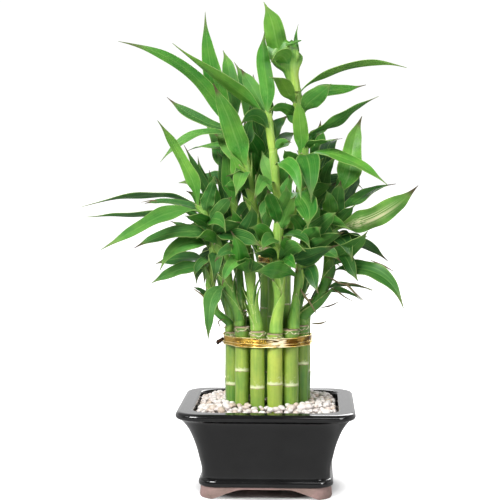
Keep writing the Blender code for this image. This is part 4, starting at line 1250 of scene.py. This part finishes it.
def stem_points(stem):
    """The shoot's points, the first of them just above the top of its cane."""
    foot = next(cane.top for cane in SHORT_CANES + TALL_CANES if cane.name == stem.cane) + GAP
    (x, y), rest = stem.points[0], stem.points[1:]
    return [Vector((x, y, foot)), Vector((x, y, foot + STEM_RISE))] + [Vector(point) for point in rest]


class Course:
    """A shoot's line, measured along its length, with a frame that doesn't twist."""

    STEPS = 240

    def __init__(self, points):
        self.spots = [curve_point(points, i / self.STEPS) for i in range(self.STEPS + 1)]
        self.lengths = [0.0]
        for a, b in zip(self.spots, self.spots[1:]):
            self.lengths.append(self.lengths[-1] + (b - a).length)
        self.frames = []
        across = Vector((1.0, 0.0, 0.0))
        for i in range(self.STEPS + 1):
            ahead = (self.spots[min(i + 1, self.STEPS)] - self.spots[max(i - 1, 0)]).normalized()
            across = (across - ahead * across.dot(ahead)).normalized()
            self.frames.append((across, ahead.cross(across), ahead))

    def at(self, length):
        """The spot and its frame, going straight on past the end."""
        length = max(length, 0.0)
        low, high = 0, self.STEPS
        while high - low > 1:
            middle = (low + high) // 2
            if self.lengths[middle] <= length:
                low = middle
            else:
                high = middle
        run = self.lengths[high] - self.lengths[low]
        share = (length - self.lengths[low]) / run
        frame_here = self.frames[low] if share < 0.5 else self.frames[high]
        spot = self.spots[low] + (self.spots[high] - self.spots[low]) * share
        return spot, frame_here

    def length_at_height(self, height):
        """How far along the line first reaches a height."""
        for i, spot in enumerate(self.spots):
            if spot.z >= height:
                return self.lengths[i]
        return self.lengths[-1]


# Shoots

def shoot_girth(stem, course, joints, length):
    """The shoot's radius: wide at its foot, and thicker from its first leaf up, where sheaths wrap it."""
    share = length / course.lengths[-1]
    radius = stem.low_radius + (stem.high_radius - stem.low_radius) * share
    first = min(joints) - 4.0
    radius += (GAP + SHEATH_WALL) * eased(length, first - 8.0, first + 2.0)
    return radius + 0.4 * stem.low_radius * (1 - eased(length, 0.0, 24.0))


def sheath_marks(joints, end):
    """Where the sheaths stop: at each leaf and at intervals between, but never two close together."""
    marks = sorted(joints)
    last = 0.0
    spare = []
    for mark in marks + [end]:
        while mark - last > 32.0:
            last += 22.0
            spare.append(last)
        last = mark
    kept = []
    for mark in sorted(marks + spare):
        if (not kept or mark - kept[-1] > 3.2) and 3.5 < mark < end - 1.0:
            kept.append(mark)
    return kept


def shoot_outline(course, joints, girth):
    """The shoot's outline as rows of (radius, height), and how pale each row is.

    It has a wide foot, then sheaths that each widen upwards to their own leaf and stop at a lip.
    """
    end = course.lengths[-1]
    rows = [(girth(0.0) - 0.35, 0.0), (girth(0.0), 0.8)]
    bands = [0.3, 0.2]
    last = 0.8
    for mark in sheath_marks(joints, end) + [end]:
        reach = mark - last
        steps = max(2, int(reach / 1.6))
        for i in range(1, steps + 1):
            share = i / steps
            length = last + (reach - 0.25) * share
            rows.append((girth(length) - 0.16 + 0.3 * share * share, length))
            bands.append(eased(share, 0.7, 1.0) * 0.3)
        if mark < end:
            rows += [(girth(mark) - 0.2, mark + 0.1), (girth(mark) - 0.18, mark + 0.9)]
            bands += [0.55, 0.2]
            last = mark + 0.9
    top = girth(end)
    rows += [(top * 0.82, end + 1.1), (top * 0.5, end + 2.1), (top * 0.12, end + 2.6)]
    bands += [0.3, 0.4, 0.5]
    return rows, bands


def add_sheath(tuft, grid, course, girth, low, rise, turn, wrap, lean, tone):
    """Lays one sheath along the shoot: wrapped round it at its foot, and standing off it at its tip."""
    before = len(tuft.verts)
    tuft.from_mesh(grid.data)
    tuft.verts.ensure_lookup_table()
    layers = tuft.verts.layers.float
    for vertex in tuft.verts[before:]:
        share, out = vertex.co.x, 2 * vertex.co.y
        length = low + rise * share
        spot, (across, side, _) = course.at(length)
        angle = turn + out * wrap * (1 - share ** 2.4)
        radius = girth(length) + 0.15 + 0.25 * share
        ahead = across * math.cos(turn) + side * math.sin(turn)
        away = across * math.cos(angle) + side * math.sin(angle)
        vertex.co = (spot + away * radius + ahead * lean * share ** 2.2) * MM
        vertex[layers["tone"]] = tone
        vertex[layers["band"]] = 0.75 * eased(abs(out), 0.7, 1.0)
        vertex[layers["dry"]] = 0.7 * eased(share, 0.86, 1.0)


def build_sheaths(name, course, joints, girth, tone):
    """The sheaths on one shoot: overlapping ones round its foot, and one that wraps it below each leaf."""
    draw = random.Random("sheaths_" + name)
    grid = begin(bpy.ops.mesh.primitive_grid_add, "flat_sheath", x_subdivisions=SHEATH_ROWS,
                 y_subdivisions=SHEATH_COLUMNS, size=1.0, location=(0.5, 0.0, 0.0))
    bpy.ops.object.transform_apply(location=True)
    tuft = bmesh.new()
    for value in ("tone", "band", "dry"):
        tuft.verts.layers.float.new(value)
    low, turn = 0.8, draw.uniform(0, ANY_TURN)
    while low < min(joints) + 4.0:
        add_sheath(tuft, grid, course, girth, low, draw.uniform(20, 38), turn, draw.uniform(1.3, 2.4),
                   draw.uniform(1.5, 7.0), tone + draw.uniform(-0.45, 0.05))
        low += draw.uniform(4.0, 8.0)
        turn += draw.uniform(2.0, 3.8)
    for leaf in LEAVES:
        if leaf.stem != name:
            continue
        joint = course.length_at_height(leaf.height)
        spot, (across, side, _) = course.at(joint)
        way = Vector((leaf.tip[0] - spot.x, leaf.tip[1] - spot.y, 0.0))
        turn = math.atan2(way.dot(side), way.dot(across))
        rise = min(draw.uniform(12.0, 20.0), joint - 1.0)
        add_sheath(tuft, grid, course, girth, joint - rise, rise + 3.0, turn, 2.5, 1.0,
                   tone + draw.uniform(-0.2, 0.1))
    bpy.data.objects.remove(grid)
    mesh = bpy.data.meshes.new("sheaths_" + name)
    tuft.to_mesh(mesh)
    tuft.free()
    piece = add_object("sheaths_" + name, mesh)
    apply_modifier(piece, "SOLIDIFY", thickness=SHEATH_THICKNESS * MM, offset=0.0)
    return piece


def build_dry_end(points, thickness):
    """A dried leaf end, rolled into a thin tapering strand."""
    points = [Vector(point) for point in points]
    shares = [i / DRY_STEPS for i in range(DRY_STEPS + 1)]
    path = [curve_point(points, share) for share in shares]
    radii = [0.35 + math.sin(math.pi * share) * (1 - 0.35 * share) for share in shares]
    strand = line("dry_end", path, False, radius=thickness, radii=radii)
    write_values(strand.data, "tone", [thickness / 1.4] * len(strand.data.vertices))
    return strand


def build_whorl():
    """Young leaves rolled and crumpled round the tip of the tallest shoot, wide at the top."""
    rows = fair(WHORL, 3)
    piece = turned("whorl", [(half, height) for height, _, half, _ in rows], WHORL_SIDES)
    tones = []
    for vertex in piece.data.vertices:
        height = vertex.co.z / MM
        _, middle, half, depth = min(rows, key=lambda row: abs(row[0] - height))
        turn = math.atan2(vertex.co.y, vertex.co.x)
        crumple = eased(height, 340, 357)
        folds = 0.10 * math.sin(3 * turn + height * 0.22) + 0.07 * math.sin(8 * turn - height * 0.35)
        x = middle + half * (1 + crumple * folds) * math.cos(turn)
        y = depth * (1 + crumple * folds) * math.sin(turn)
        z = height + crumple * (0.8 * math.sin(4 * turn + 1.0) + 0.5 * math.sin(9 * turn))
        vertex.co = Vector((x, y, z)) * MM
        streak = eased(x, 14, 24) * (1 - eased(height, 344, 356))
        tones.append(0.12 + 0.75 * streak + 0.12 * math.sin(8 * turn - height * 0.35))
    write_skin(piece.data, tones, [0.0] * len(tones), [0.0] * len(tones))
    rolled = build_dry_end([(14.7, -8, 364.3), (19, -9, 365.2), (23, -8, 366.8), (27.5, -7, 368)], 1.2)
    count = len(rolled.data.vertices)
    write_skin(rolled.data, [-0.3] * count, [0.0] * count, [0.0] * count)
    return join([piece, rolled], "whorl")


def row_bands(piece, rows, bands):
    """How pale each vertex of the straight stalk is, from the row that it lies on."""
    values = []
    for vertex in piece.data.vertices:
        height = vertex.co.z / MM
        nearest = min(range(len(rows)), key=lambda i: abs(rows[i][1] - height))
        values.append(bands[nearest])
    return values


def bend_along(piece, course):
    """Bends the straight stalk along its course. What is past the course's end goes straight on."""
    for vertex in piece.data.vertices:
        length = vertex.co.z / MM
        spot, (across, side, ahead) = course.at(length)
        over = max(length - course.lengths[-1], 0.0)
        point = spot if over == 0 else course.spots[-1] + ahead * over
        flat = across * (vertex.co.x / MM) + side * (vertex.co.y / MM)
        vertex.co = (point + flat) * MM


def build_shoot(name, stem, skin, dry):
    """One shoot with its sheaths, its dried leaf ends and, on the tallest, the whorl. Returns its course."""
    course = Course(stem_points(stem))
    joints = [course.length_at_height(leaf.height) for leaf in LEAVES if leaf.stem == name]

    def girth(length):
        return shoot_girth(stem, course, joints, length)

    rows, bands = shoot_outline(course, joints, girth)
    piece = turned("stalk_" + name, rows, SHOOT_SIDES)
    tone = SHOOT_TONE.get(name, USUAL_SHOOT_TONE)
    count = len(piece.data.vertices)
    write_skin(piece.data, [tone] * count, row_bands(piece, rows, bands), [0.0] * count)
    bend_along(piece, course)
    parts = [piece, build_sheaths(name, course, joints, girth, tone)]
    if name == WHORL_SHOOT:
        parts.append(build_whorl())
    for part in parts:
        part.data.materials.append(skin)
    for owner, thickness, points in DRY_ENDS:
        if owner == name:
            parts.append(build_dry_end(points, thickness))
            parts[-1].data.materials.append(dry)
    piece = join(parts, "stalk_" + name)
    smooth(piece, 40)
    settle(piece)
    finish_piece(piece, "shoot", "shoot_" + name)
    return course


# Leaves

def leaf_width(share):
    """The blade's half width as a share of its widest: a narrow base, a broad middle and a long fine tip."""
    if share < LEAF_WIDEST:
        rise = share / LEAF_WIDEST
        return LEAF_PETIOLE + (1 - LEAF_PETIOLE) * rise * rise * (3 - 2 * rise)
    fall = (share - LEAF_WIDEST) / (1 - LEAF_WIDEST)
    tail = 1 - 0.6 * eased(fall, 0.62, 0.95)
    return max(math.cos(math.pi / 2 * fall), 0.012) ** 0.75 * tail


def flat_blade():
    """One leaf laid out straight, a unit long, a unit wide at its widest, and folded along its midrib."""
    blade = begin(bpy.ops.mesh.primitive_grid_add, "flat_blade", x_subdivisions=LEAF_ROWS,
                  y_subdivisions=LEAF_COLUMNS, size=1.0, location=(0.5, 0.0, 0.0))
    bpy.ops.object.transform_apply(location=True)
    edit(blade)
    shape = bmesh.from_edit_mesh(blade.data)
    for row in range(LEAF_ROWS + 1):
        share = row / LEAF_ROWS
        for vertex in shape.verts:
            vertex.select = abs(vertex.co.x - share) < 0.2 / LEAF_ROWS
        shape.select_flush_mode()
        width = max(leaf_width(share), 0.012)
        bpy.ops.transform.resize(value=(1.0, width, 1.0), center_override=(share, 0.0, 0.0))
    end_edit()
    for vertex in blade.data.vertices:
        across = abs(vertex.co.y)
        vertex.co.z = LEAF_FOLD * (math.sqrt(across * across + 0.0009) - 0.03)
    return blade


def leaf_frame(base, tip):
    """The level direction across a leaf, towards the back, and the sign that turns it to face up."""
    level = Vector((tip.x - base.x, tip.y - base.y, 0)).normalized()
    across = level.cross(UP)
    sign = -1 if across.y < 0 else 1
    return across * sign, sign


def facing_turn(base, tip):
    """The turn about its own length that brings a blade from lying level to facing the front."""
    ahead = (tip - base).normalized()
    level, sign = leaf_frame(base, tip)
    above = level.cross(ahead) * sign
    front = Vector((0, -1, 0)) + ahead * ahead.y
    turn = math.atan2(-front.dot(level), front.dot(above))
    return turn - math.pi if turn > math.pi / 2 else turn


def leaf_line(base, tip, bow, draw, calm):
    """The line of a leaf's midrib: it leaves the shoot upwards, bows over, and wavers a little."""
    across, sign = leaf_frame(base, tip)
    chord = tip - base
    above = (across.cross(chord) * sign).normalized()
    knee = base + chord * 0.42 + above * 2 * bow
    lift = 0.45 * chord.length
    sway = calm * draw.uniform(-0.05, 0.05) * chord.length
    hook = calm * draw.uniform(-0.05, 0.05) * chord.length

    def at(share):
        bowed = base * (1 - share) ** 2 + knee * 2 * share * (1 - share) + tip * share ** 2
        rise = UP * lift * share * (1 - share) ** 7
        bend = above * hook * math.sin(math.pi * share * share)
        return bowed + rise + bend + across * sway * math.sin(2 * math.pi * share)
    return at


def blade_rows(at, frame_across, full_roll, twist, grip):
    """For each row of a blade: its middle, the way across it, the way it faces and how tightly it curls."""
    across, sign = frame_across
    rows = []
    for row in range(LEAF_ROWS + 1):
        share = row / LEAF_ROWS
        ahead = (at(min(share + 0.02, 1.0)) - at(max(share - 0.02, 0.0))).normalized()
        level = (across - ahead * across.dot(ahead)).normalized()
        above = level.cross(ahead) * sign
        roll = full_roll * eased(share, -0.05, 0.26) + twist * eased(share, 0.35, 1.0)
        side = level * math.cos(roll) + above * math.sin(roll)
        face = above * math.cos(roll) - level * math.sin(roll)
        rows.append((at(share), side, face, (1 - eased(share, 0.0, 0.14)) / grip))
    return rows


def add_leaf(tuft, blade, stem, course, leaf, number):
    """Copies the flat blade into the tuft, laid along the leaf's line and curled round the shoot's side."""
    draw = random.Random(1000 + number)
    spot, _ = course.at(course.length_at_height(leaf.height))
    tip = spot.lerp(Vector(leaf.tip), TIP_REACH)
    breadth = leaf.width * min(max((tip - spot).length / (3.1 * leaf.width), 0.72), 1.0)
    way = Vector((tip.x - spot.x, tip.y - spot.y, 0)).normalized()
    grip = stem.high_radius + GAP + SHEATH_WALL + 0.25
    base = spot + way * grip
    striped = leaf.tip == STRIPED_TIP
    calm = 0.2 if striped else 1.0
    at = leaf_line(base, tip, leaf.bow, draw, calm)
    full_roll = facing_turn(base, tip) * leaf.roll / 90
    twist = calm * math.radians(draw.uniform(-LEAF_TWIST, LEAF_TWIST))
    rows = blade_rows(at, leaf_frame(base, tip), full_roll, twist, grip)
    fold = draw.uniform(*LEAF_FOLDS)
    ripple = draw.uniform(*LEAF_RIPPLES) * breadth
    pace = draw.uniform(*LEAF_PACES)
    phases = (draw.uniform(0, ANY_TURN), draw.uniform(0, ANY_TURN))
    swell = draw.uniform(*LEAF_SWELLS)
    # High leaves are young and yellower, and those at the back are darker: painted shade.
    tone = 0.39 + 0.30 * (tip.z - 200) / 180 - 0.0045 * max(tip.y, 0) + draw.uniform(-0.3, 0.22)
    if striped:
        tone = STRIPED_TONE
    before = len(tuft.verts)
    tuft.from_mesh(blade.data)
    tuft.verts.ensure_lookup_table()
    layer = tuft.verts.layers.float["tone"]
    for vertex in tuft.verts[before:]:
        share = vertex.co.x
        middle, side, face, curl = rows[round(share * LEAF_ROWS)]
        out = vertex.co.y * breadth * (1 + swell * math.sin(2 * math.pi * (1.3 * share) + phases[0]))
        lift = vertex.co.z * breadth * fold
        edge = min(abs(vertex.co.y) * 2 / max(leaf_width(share), 0.05), 1.0)
        wave = math.sin(2 * math.pi * pace * share + phases[0 if out > 0 else 1])
        lift += ripple * wave * edge * edge * eased(share, 0.1, 0.3) * (1 - share * share)
        if curl > 1e-4:
            lift = lift * eased(share, 0.0, 0.14) + (1 - math.cos(out * curl)) / curl
            out = math.sin(out * curl) / curl
        point = middle + side * out + face * lift
        vertex.co = point * MM
        # Painted shade: the blade is darker towards its base, deep in the plant.
        vertex[layer] = tone - 0.15 * (1 - eased(share, 0.05, 0.4))


def build_leaves(name, stem, course, blade, upper, under):
    """All the leaves of one shoot as one piece, each with an upper and an under side."""
    tuft = bmesh.new()
    tuft.verts.layers.float.new("tone")
    for number, leaf in enumerate(LEAVES):
        if leaf.stem == name:
            add_leaf(tuft, blade, stem, course, leaf, number)
    mesh = bpy.data.meshes.new("blades_" + name)
    tuft.to_mesh(mesh)
    tuft.free()
    piece = add_object("blades_" + name, mesh)
    mesh.materials.append(upper)
    mesh.materials.append(under)
    apply_modifier(piece, "SOLIDIFY", thickness=LEAF_THICKNESS * MM, offset=0.0, material_offset=1)
    smooth(piece, 60)
    settle(piece)
    finish_piece(piece, "leaf", "leaves_" + name)


def build_growth(skin, dry, upper, under):
    blade = flat_blade()
    for name, stem in STEMS.items():
        course = build_shoot(name, stem, skin, dry)
        build_leaves(name, stem, course, blade, upper, under)
    bpy.data.objects.remove(blade)


# Studio

def build_floor():
    """A pale floor that shows the soft shadow close round the pot, and plain white further out."""
    floor = begin(bpy.ops.mesh.primitive_plane_add, "floor", size=30.0, location=(0.0, 0.0, 0.0))
    made, tree, shader = new_material("studio_floor")
    speck = noise(tree, object_coords(tree), 3.0, 2.0)
    ends = {0: object_coords(tree), 1: tuple(MIDDLE)}
    out = add_node(tree, "ShaderNodeVectorMath", ends, operation="DISTANCE").outputs["Value"]
    clear = ramp_up(tree, out, SHADOW_INNER, SHADOW_OUTER, 0.0, FLOOR_GLOW)
    glow = times(tree, add_node(tree, "ShaderNodeLightPath").outputs["Is Camera Ray"], clear)
    set_shader(tree, shader, Base_Color=blend(tree, speck, FLOOR_LIGHT, FLOOR_DARK), Roughness=0.9)
    set_shader(tree, shader, Emission_Color=WHITE, Emission_Strength=glow)
    floor.data.materials.append(made)


def build_world():
    """A white room. It shows white and lights softly.

    In gloss it mirrors white behind and dim in front, with a narrow bright strip high in front.
    """
    world = bpy.data.worlds.new("studio")
    bpy.context.scene.world = world
    world.use_nodes = True
    tree = world.node_tree
    rays = add_node(tree, "ShaderNodeLightPath").outputs
    direction = add_node(tree, "ShaderNodeTexCoord").outputs["Generated"]
    right, back, rise = add_node(tree, "ShaderNodeSeparateXYZ", {0: direction}).outputs
    backdrop = ramp_up(tree, back, -0.35, 0.25, FRONT_MIRROR, 1.0)
    walls = times(tree, backdrop, ramp_up(tree, rise, 0.2, 0.5, 1.0, 0.45))
    level = times(tree, ramp_up(tree, rise, 0.52, 0.56), ramp_up(tree, rise, 0.60, 0.64, 1.0, 0.0))
    sides = plus(tree, ramp_up(tree, right, 0.0, 0.04), ramp_up(tree, right, -0.18, -0.12, 1.0, 0.0))
    front = ramp_up(tree, back, -0.25, -0.1, STRIP_MIRROR, 0.0)
    mirrored = plus(tree, walls, times(tree, times(tree, level, sides), front))
    seen = times(tree, rays["Is Camera Ray"], SHOWN_WHITE)
    unseen = minus(tree, 1.0, rays["Is Camera Ray"])
    diffuse = minus(tree, unseen, rays["Is Glossy Ray"], clamp=True)
    shown = plus(tree, seen, times(tree, rays["Is Glossy Ray"], mirrored))
    background = tree.nodes["Background"].inputs
    feed(tree, background["Color"], WHITE)
    feed(tree, background["Strength"], plus(tree, shown, times(tree, diffuse, WORLD_LIGHT)))


def add_softbox(name, spot, width, height, power):
    """A rectangular lamp that faces the plant."""
    lamp = bpy.data.lights.new(name, "AREA")
    lamp.shape = "RECTANGLE"
    lamp.size = width
    lamp.size_y = height
    lamp.energy = power
    made = add_object(name, lamp)
    made.location = spot
    made.rotation_euler = (Vector(spot) - LAMP_AIM).to_track_quat("Z", "Y").to_euler()


def build_lights():
    add_softbox("key", (-1.0, -1.35, 1.35), 1.0, 0.6, 64.0)
    add_softbox("fill", (1.5, -1.2, 0.75), 0.5, 0.7, 15.0)
    add_softbox("back", (0.4, 1.7, 1.1), 1.0, 0.8, 18.0)


def build_camera():
    """A long lens a little above the plant's middle, and slightly to its right."""
    level = math.cos(CAMERA_RISE)
    back = Vector((math.sin(CAMERA_TURN) * level, -math.cos(CAMERA_TURN) * level, math.sin(CAMERA_RISE)))
    lens = bpy.data.cameras.new("camera")
    lens.lens = CAMERA_LENS
    lens.sensor_width = 36.0
    made = add_object("camera", lens)
    made.location = CAMERA_AIM + back * CAMERA_DISTANCE
    made.rotation_euler = (-back).to_track_quat("-Z", "Y").to_euler()
    bpy.context.scene.camera = made


mottle = build_mottle()
cane_skin = skin_material("cane_skin", CANE_GREEN, CANE_YELLOW, CANE_BAND, CANE_CUT,
                          520.0, 0.25, mottle)
shoot_skin = skin_material("shoot_skin", SHOOT_GREEN, SHOOT_YELLOW, SHOOT_BAND, SHOOT_CUT,
                           700.0, 0.06, mottle)
dry_leaf = skin_material("dry_leaf", WITHERED_BROWN, WITHERED_STRAW, WITHERED_BAND, WITHERED_CUT,
                         700.0, 0.1, mottle)
leaf_top = leaf_material("leaf_upper_side", UPPER_DEEP, UPPER_FRESH, UPPER_YOUNG, 0.36, mottle)
leaf_back = leaf_material("leaf_under_side", UNDER_DEEP, UNDER_FRESH, UNDER_YOUNG, 0.55, mottle)
bright_gold = foil_material("bright_gold", GOLD_BRIGHT, GOLD_DEEP, 0.25, mottle)
brown_gold = foil_material("brown_gold", BAND_GOLD, BAND_BROWN, 0.7, mottle)
dark_wire = foil_material("dark_wire", WIRE_BROWN, WIRE_BLACK, 0.4, mottle)

build_pot(glaze_material(mottle), clay_material(mottle))
build_canes(cane_skin)
build_pebbles(stone_material(mottle))
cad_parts["soil"].material_slots[0].material = soil_material(mottle)
build_ties(bright_gold, brown_gold, dark_wire)
build_growth(shoot_skin, dry_leaf, leaf_top, leaf_back)
build_floor()
build_world()
build_lights()
build_camera()
bpy.context.scene.view_settings.view_transform = "Standard"
